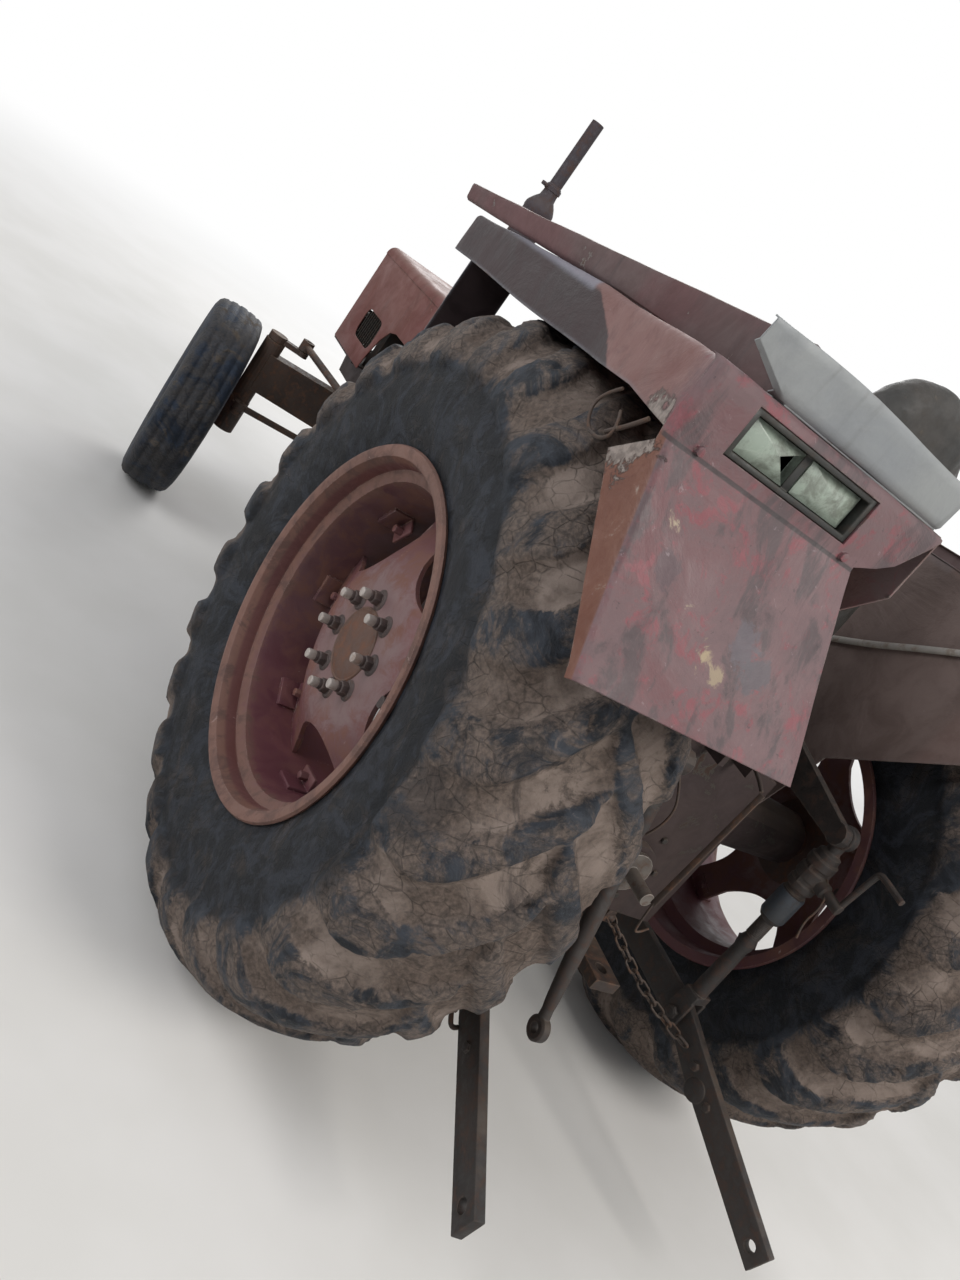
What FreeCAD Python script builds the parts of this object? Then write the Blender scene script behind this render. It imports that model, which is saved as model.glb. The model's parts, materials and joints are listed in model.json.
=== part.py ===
import FreeCAD
import Part
import Sketcher
import math
import os
from types import SimpleNamespace

# A mid-size two-wheel-drive farm tractor with a rear three-point linkage.
# Millimetres, +Z up, the ground at Z = 0, the nose towards -Y and the driver's left towards +X.
# The origin is on the ground, midway between the nose and the ends of the lower links.

doc = FreeCAD.newDocument("FarmTractor")
sheet = doc.addObject("Spreadsheet::Sheet", "Sizes")

# Driving sizes: alias, value, what it measures.
table = [
    ("wheelbase", 2290, "front axle to rear axle"),
    ("front_reach", 2750, "rear axle to the towing jaw's front face"),
    ("rear_track", 1380, "between the rear tyres' middles"),
    ("front_track", 1440, "between the front tyres' middles, wheels straight"),
    ("run_gap", 0.05, "radial clearance of a shaft that turns in a bore"),
    ("seat_gap", 0.3, "clearance between fixed curved faces"),
    ("rear_tyre_radius", 760, "to the lugs' tips"),
    ("rear_tyre_width", 430, "section width"),
    ("lug_height", 34, "lug above the carcass"),
    ("rear_rim_radius", 381, "bead seat"),
    ("rear_rim_width", 402, "over the flanges"),
    ("rim_lip_height", 24, "flange above the bead seat"),
    ("rim_lip_thick", 13, "rolled flange, along the axle"),
    ("rim_wall", 8, "rim plate"),
    ("rim_well", 35, "rim's well below the bead seat"),
    ("disc_offset", 100, "disc's outer face from the tyre's middle"),
    ("disc_wall", 10, "wheel disc plate"),
    ("disc_flat_radius", 150, "flat middle of the disc"),
    ("disc_dish", 70, "how far the disc's edge lies inboard of its middle"),
    ("scallop_radius", 140, "round bite out of the disc's edge"),
    ("scallop_middle", 360, "middle of a bite from the axle"),
    ("bracket_width", 68, "folded bracket that carries the disc"),
    ("stud_circle", 203.2, "wheel stud pitch circle"),
    ("stud_radius", 9, "wheel stud"),
    ("stud_reach", 46, "stud end from the disc"),
    ("nut_radius", 16, "wheel nut"),
    ("nut_height", 20, "wheel nut"),
    ("hub_cap_radius", 77, "axle end in the disc's bore"),
    ("rear_hub_radius", 128, "hub flange behind the disc"),
    ("rear_hub_thick", 26, "hub flange"),
    ("rear_shaft_radius", 42, "rear axle shaft"),
    ("shaft_grip", 60, "length of an axle shaft inside its housing"),
    ("front_tyre_radius", 400, "tread"),
    ("front_tyre_width", 200, "section width"),
    ("front_rim_radius", 203, "bead seat"),
    ("front_rim_width", 152, "over the flanges"),
    ("front_disc_offset", 20, "front disc's outer face from the tyre's middle"),
    ("front_hub_radius", 62, "front hub"),
    ("spindle_radius", 24, "front wheel spindle"),
    ("kingpin_x", 562, "kingpin axis from the middle plane"),
    ("kingpin_radius", 19, "kingpin"),
    ("sleeve_radius", 40, "kingpin sleeve of the beam"),
    ("sleeve_low", 500, "sleeve's lower end"),
    ("sleeve_high", 765, "sleeve's upper end"),
    ("steer_rest", -12, "steering angle as parked, to the right"),
    ("beam_low", 558, "front axle beam's underside"),
    ("beam_height", 157, "front axle beam"),
    ("beam_depth", 84, "front axle beam, fore and aft"),
    ("arm_length", 108, "steering arm and drop arm"),
    ("arm_thick", 20, "steering arm plate"),
    ("tie_arm_length", 140, "tie rod arm"),
    ("tie_rod_radius", 13, "tie rod"),
    ("drag_rod_radius", 14, "drag link"),
    ("drop_arm_y", -1250, "drop arm's shaft from the rear axle"),
    ("drop_arm_x", 320, "drag link's rear eye from the middle plane"),
    ("engine_front", -2100, "crankcase's front face from the rear axle"),
    ("engine_back", -1380, "flywheel face from the rear axle"),
    ("engine_half", 160, "half of the crankcase's width"),
    ("sump_low", 500, "sump's underside"),
    ("crankcase_low", 600, "crankcase's underside"),
    ("deck", 980, "crankcase's top, level with the gearbox's top"),
    ("head_height", 100, "cylinder head"),
    ("rocker_height", 70, "rocker cover"),
    ("gearbox_front", -1150, "bell housing's rear face from the rear axle"),
    ("gearbox_back", -330, "gearbox's rear face from the rear axle"),
    ("gearbox_half", 170, "half of the gearbox's width"),
    ("bell_half", 215, "half of the bell housing's width"),
    ("lever_y", -760, "gear lever's knob from the rear axle"),
    ("lever_height", 420, "gear lever's knob above the gearbox"),
    ("centre_back", 230, "rear housing's back face from the rear axle"),
    ("centre_half", 215, "half of the rear housing's width"),
    ("trumpet_radius", 100, "axle trumpet at its root"),
    ("trumpet_end_radius", 78, "axle trumpet at its end"),
    ("trumpet_end", 690, "axle trumpet's end from the middle plane"),
    ("cover_height", 120, "hydraulic lift cover"),
    ("cover_half", 190, "half of the lift cover's width"),
    ("rockshaft_y", 100, "rockshaft from the rear axle"),
    ("rockshaft_rise", 60, "rockshaft above the gearbox's top"),
    ("rockshaft_radius", 32, "rockshaft"),
    ("lift_arm_x", 275, "lift arms from the middle plane"),
    ("lift_arm_length", 302, "rockshaft to the lift rod's pin"),
    ("lift_arm_droop", 7.6, "lift arms' angle below level, as parked"),
    ("lift_arm_thick", 26, "lift arm plate"),
    ("lift_pin_radius", 12, "lift rod's upper pin"),
    ("lift_rod_length", 604, "right lift rod, pin to pin"),
    ("lift_rod_radius", 15, "lift rod"),
    ("loose_rod_length", 584, "left lift rod, eye to eye"),
    ("loose_rod_tilt", 22, "how far the loose left rod hangs back"),
    ("link_pivot_x", 250, "lower link's front ball from the middle plane"),
    ("link_pivot_y", -80, "lower link's front ball from the rear axle"),
    ("link_pivot_z", 450, "lower link's front ball height"),
    ("link_length", 985, "lower link, front ball to rear hole"),
    ("link_bend", 480, "front ball to the bend at the lift rod's hole"),
    ("link_bend_drop", 55, "bend above the line between the balls"),
    ("link_height", 70, "lower link bar"),
    ("link_thick", 18, "lower link bar"),
    ("link_end", 38.4, "flat end of the lower link past its hole"),
    ("link_bore_radius", 14.35, "hole in the lower link's rear end"),
    ("link_pin_radius", 11, "front pivot pin"),
    ("left_droop", 10.5, "left lower link below level"),
    ("left_sway", 11.9, "left lower link outwards"),
    ("right_droop", 13.1, "right lower link below level"),
    ("right_sway", 9.5, "right lower link outwards"),
    ("sheet_wall", 4, "folded sheet of the fenders and the steps"),
    ("panel_wall", 3, "hood and side panels"),
    ("fender_inner_x", 400, "fender's inner plate from the middle plane"),
    ("fender_outer_x", 950, "fender's outer edge at the lamps"),
    ("fender_top", 1610, "fender's top at the lamps"),
    ("fender_front_drop", 35, "fender's top is lower at its front end"),
    ("fender_front_y", -850, "fender's front edge from the rear axle"),
    ("fender_back_y", 620, "lamp panel from the rear axle"),
    ("lamp_panel_height", 120, "upright lamp panel"),
    ("tail_low", 1190, "sloping tail panel's lower edge"),
    ("tail_out", 160, "how far the tail panel's lower edge stands back"),
    ("skirt_low", 1515, "fender skirt's lower edge"),
    ("stay_width", 140, "fender's front stay"),
    ("hood_half", 300, "half of the hood's width"),
    ("hood_front", -2530, "hood's front edge from the rear axle"),
    ("hood_back", -1010, "hood's rear edge from the rear axle"),
    ("hood_rise", 322, "hood's top above the crankcase's top"),
    ("hood_depth", 42, "hood's side below its top"),
    ("hood_round", 30, "hood's rounded edge"),
    ("nose_low", 870, "nose panel's lower edge"),
    ("side_height", 180, "side panel along the engine, below the hood"),
    ("vent_width", 150, "louvred vent in the nose panel"),
    ("vent_height", 190, "louvred vent in the nose panel"),
    ("step_z", 560, "footplate's top"),
    ("muffler_radius", 55, "upright silencer"),
    ("muffler_rise", 478, "silencer's domed top above the hood"),
    ("tailpipe_radius", 23, "exhaust pipe"),
    ("tailpipe_length", 300, "exhaust pipe's open end above the silencer"),
    ("exhaust_x", 100, "exhaust from the middle plane"),
    ("exhaust_y", -2000, "exhaust from the rear axle"),
    ("fan_clear", 50, "between the fan's tips and the hood or the bolster"),
    ("radiator_half", 230, "half of the radiator's width"),
    ("wheel_ring_radius", 205, "steering wheel"),
    ("wheel_ring_rise", 288, "steering wheel's middle above the hood"),
    ("wheel_ring_y", -660, "steering wheel's middle from the rear axle"),
    ("wheel_ring_thick", 15, "steering wheel's grip, radius"),
    ("seat_width", 480, "driver's seat"),
    ("seat_rise", 310, "seat cushion's top above the gearbox's top"),
    ("seat_back_height", 630, "seat's back above the cushion"),
    ("seat_y", -110, "seat's middle from the rear axle"),
    ("drawbar_reach", 430, "drawbar's end from the rear axle"),
    ("drawbar_hole_radius", 16, "drawbar pin hole"),
    ("pto_radius", 17.45, "power take-off shaft"),
    ("pto_z", 640, "power take-off shaft's height"),
    ("toplink_bore_radius", 12.85, "upper link's pin hole"),
]

for row, (alias, value, meaning) in enumerate(table, start=1):
    sheet.set(f"A{row}", meaning)
    sheet.set(f"B{row}", str(value))
    sheet.setAlias(f"B{row}", alias)
doc.recompute()


class Size:
    """A number that keeps the formula it came from, so that a shape can be bound to it."""

    def __init__(self, number, formula):
        self.number = float(number)
        self.formula = formula

    def __float__(self):
        return self.number

    def __add__(self, other):
        return Size(self.number + float(other), f"({self.formula} + {formula_of(other)})")

    def __radd__(self, other):
        return Size(float(other) + self.number, f"({formula_of(other)} + {self.formula})")

    def __sub__(self, other):
        return Size(self.number - float(other), f"({self.formula} - {formula_of(other)})")

    def __rsub__(self, other):
        return Size(float(other) - self.number, f"({formula_of(other)} - {self.formula})")

    def __mul__(self, other):
        return Size(self.number * float(other), f"({self.formula} * {formula_of(other)})")

    def __rmul__(self, other):
        return Size(float(other) * self.number, f"({formula_of(other)} * {self.formula})")

    def __truediv__(self, other):
        return Size(self.number / float(other), f"({self.formula} / {formula_of(other)})")

    def __neg__(self):
        return Size(-self.number, f"(0 - {self.formula})")


def formula_of(value):
    return value.formula if isinstance(value, Size) else repr(float(value))


def cosine(angle):
    return Size(math.cos(math.radians(float(angle))), f"cos({formula_of(angle)})")


def sine(angle):
    return Size(math.sin(math.radians(float(angle))), f"sin({formula_of(angle)})")


s = SimpleNamespace(**{alias: Size(sheet.get(alias), f"Sizes.{alias}") for alias, _, _ in table})
hood_top = s.deck + s.hood_rise
rockshaft_z = s.deck + s.rockshaft_rise
muffler_top = hood_top + s.muffler_rise
tailpipe_top = muffler_top + s.tailpipe_length
seat_z = s.deck + s.seat_rise
seat_top = seat_z + s.seat_back_height


# Binding and placing

def bind(thing, prop, value):
    if isinstance(value, Size):
        thing.setExpression(prop, value.formula)
    else:
        setattr(thing, prop, value)


def place(thing, at, axis=None, angle=0.0):
    """Put an object's own origin at a point and turn it about an axis."""
    turn = FreeCAD.Rotation(FreeCAD.Vector(*(axis or (0, 0, 1))), float(angle))
    base = FreeCAD.Vector(*[float(value) for value in at])
    thing.Placement = FreeCAD.Placement(base, turn)
    for letter, value in zip("xyz", at):
        if isinstance(value, Size):
            thing.setExpression(f"Placement.Base.{letter}", value.formula)
    if isinstance(angle, Size):
        thing.setExpression("Placement.Rotation.Angle", angle.formula)
    return thing


along = {"x": ((0, 1, 0), 90), "y": ((1, 0, 0), -90), "z": ((0, 0, 1), 0)}


def box(name, low, high):
    """A box between its lowest and highest corners."""
    thing = doc.addObject("Part::Box", name)
    for prop, start, end in zip(("Length", "Width", "Height"), low, high):
        bind(thing, prop, end - start)
    return place(thing, low)


def cylinder(name, start, length, radius, way="z"):
    """A round bar from its start, along a row axis."""
    thing = doc.addObject("Part::Cylinder", name)
    bind(thing, "Radius", radius)
    bind(thing, "Height", length)
    return place(thing, start, *along[way])


def bar(name, start, length, radius, way="z", sides=12):
    """A bar of flat sides, for what is round but turns in nothing, and for nuts."""
    thing = doc.addObject("Part::Prism", name)
    thing.Polygon = sides
    bind(thing, "Circumradius", radius)
    bind(thing, "Height", length)
    return place(thing, start, *along[way])


def fuse(name, *pieces):
    thing = doc.addObject("Part::MultiFuse", name)
    thing.Shapes = list(pieces)
    return thing


def cut(name, base, tool):
    thing = doc.addObject("Part::Cut", name)
    thing.Base = base
    thing.Tool = tool
    return thing


def mirrored(name, source):
    """The same piece on the tractor's right side."""
    thing = doc.addObject("Part::Mirroring", name)
    thing.Source = source
    thing.Normal = FreeCAD.Vector(1, 0, 0)
    return thing


def outline(body, name, plane, points):
    """A closed sketch through points on one of the body's own planes, each point tied to its sizes."""
    sketch = body.newObject("Sketcher::SketchObject", name)
    face = [item for item in body.Origin.OriginFeatures if item.Role == plane][0]
    sketch.AttachmentSupport = (face, [""])
    sketch.MapMode = "FlatFace"
    count = len(points)
    ends = [FreeCAD.Vector(float(a), float(b), 0) for a, b in points]
    for index in range(count):
        sketch.addGeometry(Part.LineSegment(ends[index], ends[(index + 1) % count]))
    for index in range(count):
        sketch.addConstraint(Sketcher.Constraint("Coincident", index, 2, (index + 1) % count, 1))
    for index, point in enumerate(points):
        for kind, value in zip(("DistanceX", "DistanceY"), point):
            number = Sketcher.Constraint(kind, -1, 1, index, 1, float(value))
            place_in_list = sketch.addConstraint(number)
            if isinstance(value, Size):
                sketch.setExpression(f"Constraints[{place_in_list}]", value.formula)
    return sketch


def padded(name, plane, points, thickness, middle=False, reverse=False):
    """A plate or bar of one outline."""
    body = doc.addObject("PartDesign::Body", name)
    pad = body.newObject("PartDesign::Pad", name + "_pad")
    pad.Profile = outline(body, name + "_sketch", plane, points)
    pad.Midplane = middle
    pad.Reversed = reverse
    bind(pad, "Length", thickness)
    return body


def turned(name, points):
    """A ring or disc about the X axis, from its half section (along the axle, radius)."""
    body = doc.addObject("PartDesign::Body", name)
    sketch = outline(body, name + "_sketch", "XZ_Plane", points)
    spin = body.newObject("PartDesign::Revolution", name + "_turn")
    spin.Profile = sketch
    spin.ReferenceAxis = (sketch, ["H_Axis"])
    spin.Angle = 360
    return body


def made(name, shape, at=(0, 0, 0)):
    """A piece whose shape is worked out here, such as a rod between two points."""
    thing = doc.addObject("Part::Feature", name)
    thing.Shape = shape
    return place(thing, at)


def vector(*numbers):
    return FreeCAD.Vector(*[float(number) for number in numbers])


def rod(start, end, radius):
    """A round bar between two points."""
    way = end - start
    return Part.makeCylinder(float(radius), way.Length, start, way)


def flat_rod(start, end, radius, sides=12):
    """A rod of flat sides between two points."""
    way = (end - start).normalize()
    across = way.cross(vector(0, 0, 1))
    if across.Length < 0.1:
        across = vector(1, 0, 0)
    across = across.normalize() * float(radius)
    turns = [FreeCAD.Rotation(way, 360.0 * index / sides) for index in range(sides)]
    corners = [start + turn.multVec(across) for turn in turns]
    return Part.Face(Part.makePolygon(corners + corners[:1])).extrude(end - start)


def settled(*shapes):
    """Shapes that keep the places they were turned or moved to."""
    return Part.makeCompound(list(shapes))


def wheel_point(x, radius, turn, across=0.0):
    """A point from the middle of a wheel: along the axle, outwards at an angle from the back, and square to that."""
    angle = math.radians(float(turn))
    out = float(radius)
    side = float(across)
    return vector(x, out * math.cos(angle) - side * math.sin(angle), out * math.sin(angle) + side * math.cos(angle))


def flat_faced(faces):
    """A solid closed by flat faces, each given by its corners; a face that isn't flat is folded."""
    sides = []
    for corners in faces:
        if len(corners) == 4:
            fold = (corners[1] - corners[0]).cross(corners[2] - corners[0]).normalize()
            if abs(fold.dot(corners[3] - corners[0])) > 1e-5:
                sides.append([corners[0], corners[1], corners[2]])
                sides.append([corners[0], corners[2], corners[3]])
                continue
        sides.append(corners)
    solid = Part.makeSolid(Part.makeShell([Part.Face(Part.makePolygon(list(side) + [side[0]])) for side in sides]))
    if solid.Volume < 0:
        solid.reverse()
    return solid


def faceted_ring(section, sides, start=0.0):
    """A ring of flat sides about the axle, from its section of (along the axle, radius)."""
    step = 360.0 / sides
    faces = []
    for (x_one, r_one), (x_two, r_two) in zip(section, section[1:] + section[:1]):
        for index in range(sides):
            turn = start + index * step
            faces.append([wheel_point(x_one, r_one, turn), wheel_point(x_one, r_one, turn + step),
                          wheel_point(x_two, r_two, turn + step), wheel_point(x_two, r_two, turn)])
    return flat_faced(faces)


def flat_cone(length, radius, end_radius, sides=24):
    """A bar of flat sides along the axle from the origin, thicker at one end."""
    step = 360.0 / sides
    near = [wheel_point(0, radius, index * step) for index in range(sides)]
    far = [wheel_point(length, end_radius, index * step) for index in range(sides)]
    faces = [near, far]
    for index in range(sides):
        following = (index + 1) % sides
        faces.append([near[index], near[following], far[following], far[index]])
    return flat_faced(faces)


def turned_block(low, high, turn):
    """A block fixed inside a wheel: its corners are (along the axle, radius, across) and it is turned about the axle."""
    def corner(x, out, side):
        return wheel_point((low[0], high[0])[x], (low[1], high[1])[out], turn, (low[2], high[2])[side])
    faces = []
    for end in (0, 1):
        faces.append([corner(end, 0, 0), corner(end, 1, 0), corner(end, 1, 1), corner(end, 0, 1)])
        faces.append([corner(0, end, 0), corner(1, end, 0), corner(1, end, 1), corner(0, end, 1)])
        faces.append([corner(0, 0, end), corner(1, 0, end), corner(1, 1, end), corner(0, 1, end)])
    return flat_faced(faces)


# Main places

link_end_half = s.link_height / 2 - 6
link_reach = (s.link_pivot_y
              + ((s.link_length + s.link_end) * cosine(s.left_droop) + link_end_half * sine(s.left_droop))
              * cosine(s.left_sway) + s.link_thick / 2 * sine(s.left_sway))
rear_y = (s.front_reach - link_reach) / 2
front_y = rear_y - s.wheelbase
rear_z = s.rear_tyre_radius
front_z = s.front_tyre_radius
tyre_x = s.rear_track / 2

nodes = []


def node(name, thing):
    """Name a finished piece and put it on the list of pieces."""
    thing.Label = name
    nodes.append(thing)
    return thing


# Rear tyres: a carcass of flat bands with raked lugs that run from the crown down the shoulder

lug_count = 24
lug_pitch = 360.0 / lug_count
lug_top_half = 2.6
lug_turn = lug_pitch * 6.5 - 90 - lug_top_half

# Rows of the carcass from the crown to the lugs' lower ends: share of the half width, below the crown, rake.
tread_rows = [
    (0.0, 0, 0.0),
    (0.47, 14, 10.0),
    (0.80, 61, 15.5),
    (0.97, 138, 15.5),
]

# The same rows on the lugs' tops: share of the half width, below the tips.
lug_rows = [
    (0.05, 0),
    (0.50, 14),
    (0.89, 70),
    (1.03, 158),
]

# Rows of the sidewall below the lugs: share of the half width, above the bead seat.
wall_rows = [
    (1.0, 159),
    (0.914, 51),
]


def rear_tyre_shape(sign, turn):
    """One closed skin: between two raked columns of corners lies either a lug or the open carcass."""
    half = s.rear_tyre_width / 2
    tip = s.rear_tyre_radius
    crown = tip - s.lug_height
    seat = s.rear_rim_radius
    rake = tread_rows[-1][2]
    step = lug_pitch / 2
    flange = s.rear_rim_width / 2 - s.rim_lip_thick
    sidewall = [(half * share, seat + above) for share, above in wall_rows]
    sidewall.append((flange - 2, seat + s.rim_lip_height + 4))
    sidewall.append((flange - 10, (seat + s.seat_gap) / cosine(step / 2)))
    faces = []
    beads = []
    for inboard in (0, 1):
        way = sign * (-1 if inboard else 1)
        first = turn + inboard * step - step / 2
        columns = [first + step * index for index in range(2 * lug_count)]
        base = [[wheel_point(way * (half * share), crown - below, column - row_rake) for column in columns]
                for share, below, row_rake in tread_rows]
        base += [[wheel_point(way * x, radius, column - rake) for column in columns] for x, radius in sidewall]
        for index in range(2 * lug_count):
            following = (index + 1) % (2 * lug_count)
            for row in range(len(base) - 1):
                if index % 2 or row >= len(tread_rows) - 1:
                    faces.append([base[row][index], base[row][following], base[row + 1][following],
                                  base[row + 1][index]])
            if index % 2:
                continue
            middle = columns[index] + step / 2
            tops = [[wheel_point(way * (half * share), tip - below, middle + edge - row[2])
                     for edge in (-lug_top_half, lug_top_half)]
                    for (share, below), row in zip(lug_rows, tread_rows)]
            for row in range(len(tops) - 1):
                faces.append([tops[row][0], tops[row][1], tops[row + 1][1], tops[row + 1][0]])
                faces.append([base[row][index], tops[row][0], tops[row + 1][0], base[row + 1][index]])
                faces.append([tops[row][1], base[row][following], base[row + 1][following], tops[row + 1][1]])
            last = len(tops) - 1
            faces.append([base[0][index], base[0][following], tops[0][1], tops[0][0]])
            faces.append([tops[last][0], tops[last][1], base[last][following], base[last][index]])
        beads.append(base[-1])
    outer, inner = beads
    count = len(outer)
    # the inboard columns start half a lug's pitch later
    for index in range(count):
        following = (index + 1) % count
        faces.append([outer[following], outer[(index + 2) % count], inner[following], inner[index]])
    return flat_faced(faces)


def wheel_name(kind, side):
    return f"{kind}_{side}"


for side, sign, turn in (("left", 1, lug_turn), ("right", -1, lug_turn + lug_pitch / 2)):
    carcass = made(f"rear_tyre_{side}_body", rear_tyre_shape(sign, turn), (sign * tyre_x, rear_y, rear_z))
    node(wheel_name("rear_tyre", side), carcass)


# Rear rims with their discs, studs and hubs

def rim_section(rim_radius, width, wall, well):
    """Flanges, bead seats and the deeper well between them, each as thick as the plate."""
    half = width / 2
    lip = rim_radius + s.rim_lip_height
    flange = half - s.rim_lip_thick
    slope = flange - 42
    foot = slope - 18
    outside = [
        (half, lip),
        (flange, lip),
        (flange, rim_radius),
        (slope, rim_radius),
        (foot, rim_radius - well),
    ]
    inside = [
        (foot + 4, rim_radius - well - wall),
        (slope + 6, rim_radius - wall),
        (half, rim_radius - wall),
    ]
    right = outside + [(-x, radius) for x, radius in reversed(outside)]
    return right + [(-x, radius) for x, radius in reversed(inside)] + inside


rim_sides = 36
disc_sides = 50
scallop_count = 5
bracket_count = 8
stud_count = 8
stud_turn = 11.0


def disc_edge(turn, scallop_turn):
    """The disc's radius at an angle: its full circle, less the round bites."""
    full = float(s.rear_rim_radius - s.rim_well - s.rim_wall / 2)
    pitch = 360.0 / scallop_count
    off = math.radians((turn - scallop_turn + pitch / 2) % pitch - pitch / 2)
    middle = float(s.scallop_middle)
    across = middle * math.sin(off)
    if abs(across) >= float(s.scallop_radius):
        return full
    return min(full, middle * math.cos(off) - math.sqrt(float(s.scallop_radius) ** 2 - across ** 2))


def disc_shape(scallop_turn):
    """Dished plate: flat in the middle, then falling inboard in two slopes to its scalloped edge."""
    out = float(s.disc_offset)
    wall = float(s.disc_wall)
    full = float(s.rear_rim_radius - s.rim_well)
    knee = float(s.scallop_middle - s.scallop_radius) - 5
    knee_depth = float(s.disc_dish) * 0.25
    step = 360.0 / disc_sides
    rings = []
    for index in range(disc_sides):
        turn = scallop_turn + index * step
        edge = disc_edge(turn, scallop_turn)
        edge_depth = knee_depth + (float(s.disc_dish) - knee_depth) * (edge - knee) / (full - knee)
        profile = [
            (out, s.hub_cap_radius - 2),
            (out, s.disc_flat_radius),
            (out - knee_depth, knee),
            (out - edge_depth, edge),
        ]
        profile += [(x - wall, radius) for x, radius in reversed(profile)]
        rings.append([wheel_point(x, radius, turn) for x, radius in profile])
    faces = []
    for one, two in zip(rings, rings[1:] + rings[:1]):
        for index in range(len(one)):
            following = (index + 1) % len(one)
            faces.append([one[index], two[index], two[following], one[following]])
    return flat_faced(faces)


def rear_wheel(side, sign, scallop_turn):
    """Rim, scalloped disc on eight folded brackets, hub and studs."""
    name = f"rear_rim_{side}"
    section = rim_section(s.rear_rim_radius, s.rear_rim_width, s.rim_wall, s.rim_well)
    ring = made(name + "_ring", faceted_ring(section, rim_sides))
    disc = made(name + "_disc", disc_shape(scallop_turn))
    back = s.disc_offset - s.disc_wall
    shaft_start = s.trumpet_end - s.shaft_grip - tyre_x
    hub = bar(name + "_hub", (back - s.rear_hub_thick, 0, 0), s.rear_hub_thick, s.rear_hub_radius, "x", 24)
    shaft = cylinder(name + "_shaft", (shaft_start, 0, 0), back - shaft_start, s.rear_shaft_radius, "x")
    cap = bar(name + "_cap", (back, 0, 0), s.disc_wall + 14, s.hub_cap_radius, "x", 24)
    pieces = [ring, disc, hub, shaft, cap]
    well_inside = s.rear_rim_radius - s.rim_well - s.rim_wall / 2
    low_x = s.disc_offset - s.disc_dish - s.disc_wall
    half = s.bracket_width / 2
    for index in range(bracket_count):
        turn = scallop_turn + 2 * sign + 360.0 * index / bracket_count
        foot = turned_block((low_x, well_inside - 42, -half), (low_x + 11, well_inside, half), turn)
        leg = turned_block((low_x + 5, well_inside - 14, -half), (low_x + 55, well_inside, half), turn)
        pieces.append(made(f"{name}_foot_{index}", foot))
        pieces.append(made(f"{name}_leg_{index}", leg))
    for index in range(stud_count):
        turn = math.radians(stud_turn + 360.0 * index / stud_count)
        y = s.stud_circle / 2 * math.cos(turn)
        z = s.stud_circle / 2 * math.sin(turn)
        pieces.append(bar(f"{name}_stud_{index}", (back, y, z), s.stud_reach + s.disc_wall, s.stud_radius, "x", 8))
        pieces.append(bar(f"{name}_nut_{index}", (back, y, z), s.nut_height + s.disc_wall, s.nut_radius, "x", 6))
    wheel = fuse(name + "_wheel", *pieces)
    if sign < 0:
        place(wheel, (-tyre_x, rear_y, rear_z), (0, 0, 1), 180)
    else:
        place(wheel, (tyre_x, rear_y, rear_z))
    return node(name, wheel)


for side, sign, scallop_turn in (("left", 1, 138.0), ("right", -1, 110.0)):
    rear_wheel(side, sign, scallop_turn)


# Front wheels on their knuckles, turned as parked

def steered(sign, x, y):
    """A point given from the kingpin, x outwards and y back, where the parked steering angle puts it."""
    across = sign * x
    return (
        sign * s.kingpin_x + across * cosine(s.steer_rest) - y * sine(s.steer_rest),
        front_y + across * sine(s.steer_rest) + y * cosine(s.steer_rest),
    )


wheel_offset = s.front_track / 2 - s.kingpin_x


def front_tyre_section():
    half = s.front_tyre_width / 2
    bore = s.front_rim_radius + s.seat_gap
    bead = s.front_rim_width / 2 - s.rim_lip_thick - 13
    tread = s.front_tyre_radius
    right = [
        (bead, bore),
        (half, bore + 108),
        (half - 9, tread - 26),
        (half - 36, tread - 6),
    ]
    return right + [(0, tread)] + [(-x, radius) for x, radius in reversed(right)]


hub_length = 92


def front_rim_section():
    half = s.front_rim_width / 2
    lip = s.front_rim_radius + s.rim_lip_height
    inside = s.front_rim_radius - s.rim_wall
    flange = half - s.rim_lip_thick
    right = [
        (half, lip),
        (flange, lip),
        (flange, s.front_rim_radius),
    ]
    return right + [(-x, radius) for x, radius in reversed(right)] + [(-half, inside), (half, inside)]


def front_disc_section():
    out = s.front_disc_offset
    edge = s.front_rim_radius - s.rim_wall + 2
    return [
        (out - 8, s.front_hub_radius - 4),
        (out - 8, 105),
        (out - 34, edge),
        (out - 26, edge),
        (out, 105),
        (out, s.front_hub_radius - 4),
    ]


def turn_to_side(thing, sign, centre, height):
    """Put a wheel's piece, made for the left side, on its own side at the parked angle."""
    if sign < 0:
        return place(thing, (*centre, height), (0, 0, 1), s.steer_rest + 180)
    return place(thing, (*centre, height), (0, 0, 1), s.steer_rest)


spindle_end = wheel_offset + 40


def front_wheel(side, sign):
    centre = steered(sign, wheel_offset, 0)
    tyre = made(f"front_tyre_{side}_body", faceted_ring(front_tyre_section(), rim_sides))
    node(f"front_tyre_{side}", turn_to_side(tyre, sign, centre, front_z))
    name = f"front_rim_{side}"
    ring = made(name + "_ring", faceted_ring(front_rim_section(), rim_sides))
    disc = made(name + "_disc", faceted_ring(front_disc_section(), rim_sides))
    hub = bar(name + "_hub", (-52, 0, 0), hub_length + 20, s.front_hub_radius, "x", 24)
    cap = bar(name + "_cap", (60, 0, 0), 26, s.front_hub_radius - 22, "x", 16)
    bore = cylinder(name + "_bore", (-60, 0, 0), 60 + spindle_end - wheel_offset, s.spindle_radius + s.run_gap, "x")
    nuts = []
    for index in range(6):
        turn = math.radians(60.0 * index)
        spot = (s.front_disc_offset - 8, 82 * math.cos(turn), 82 * math.sin(turn))
        nuts.append(bar(f"{name}_nut_{index}", spot, 30, 11, "x", 6))
    whole = fuse(name + "_whole", ring, disc, hub, cap, *nuts)
    rim = cut(name + "_wheel", whole, bore)
    return node(name, turn_to_side(rim, sign, centre, front_z))


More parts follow.
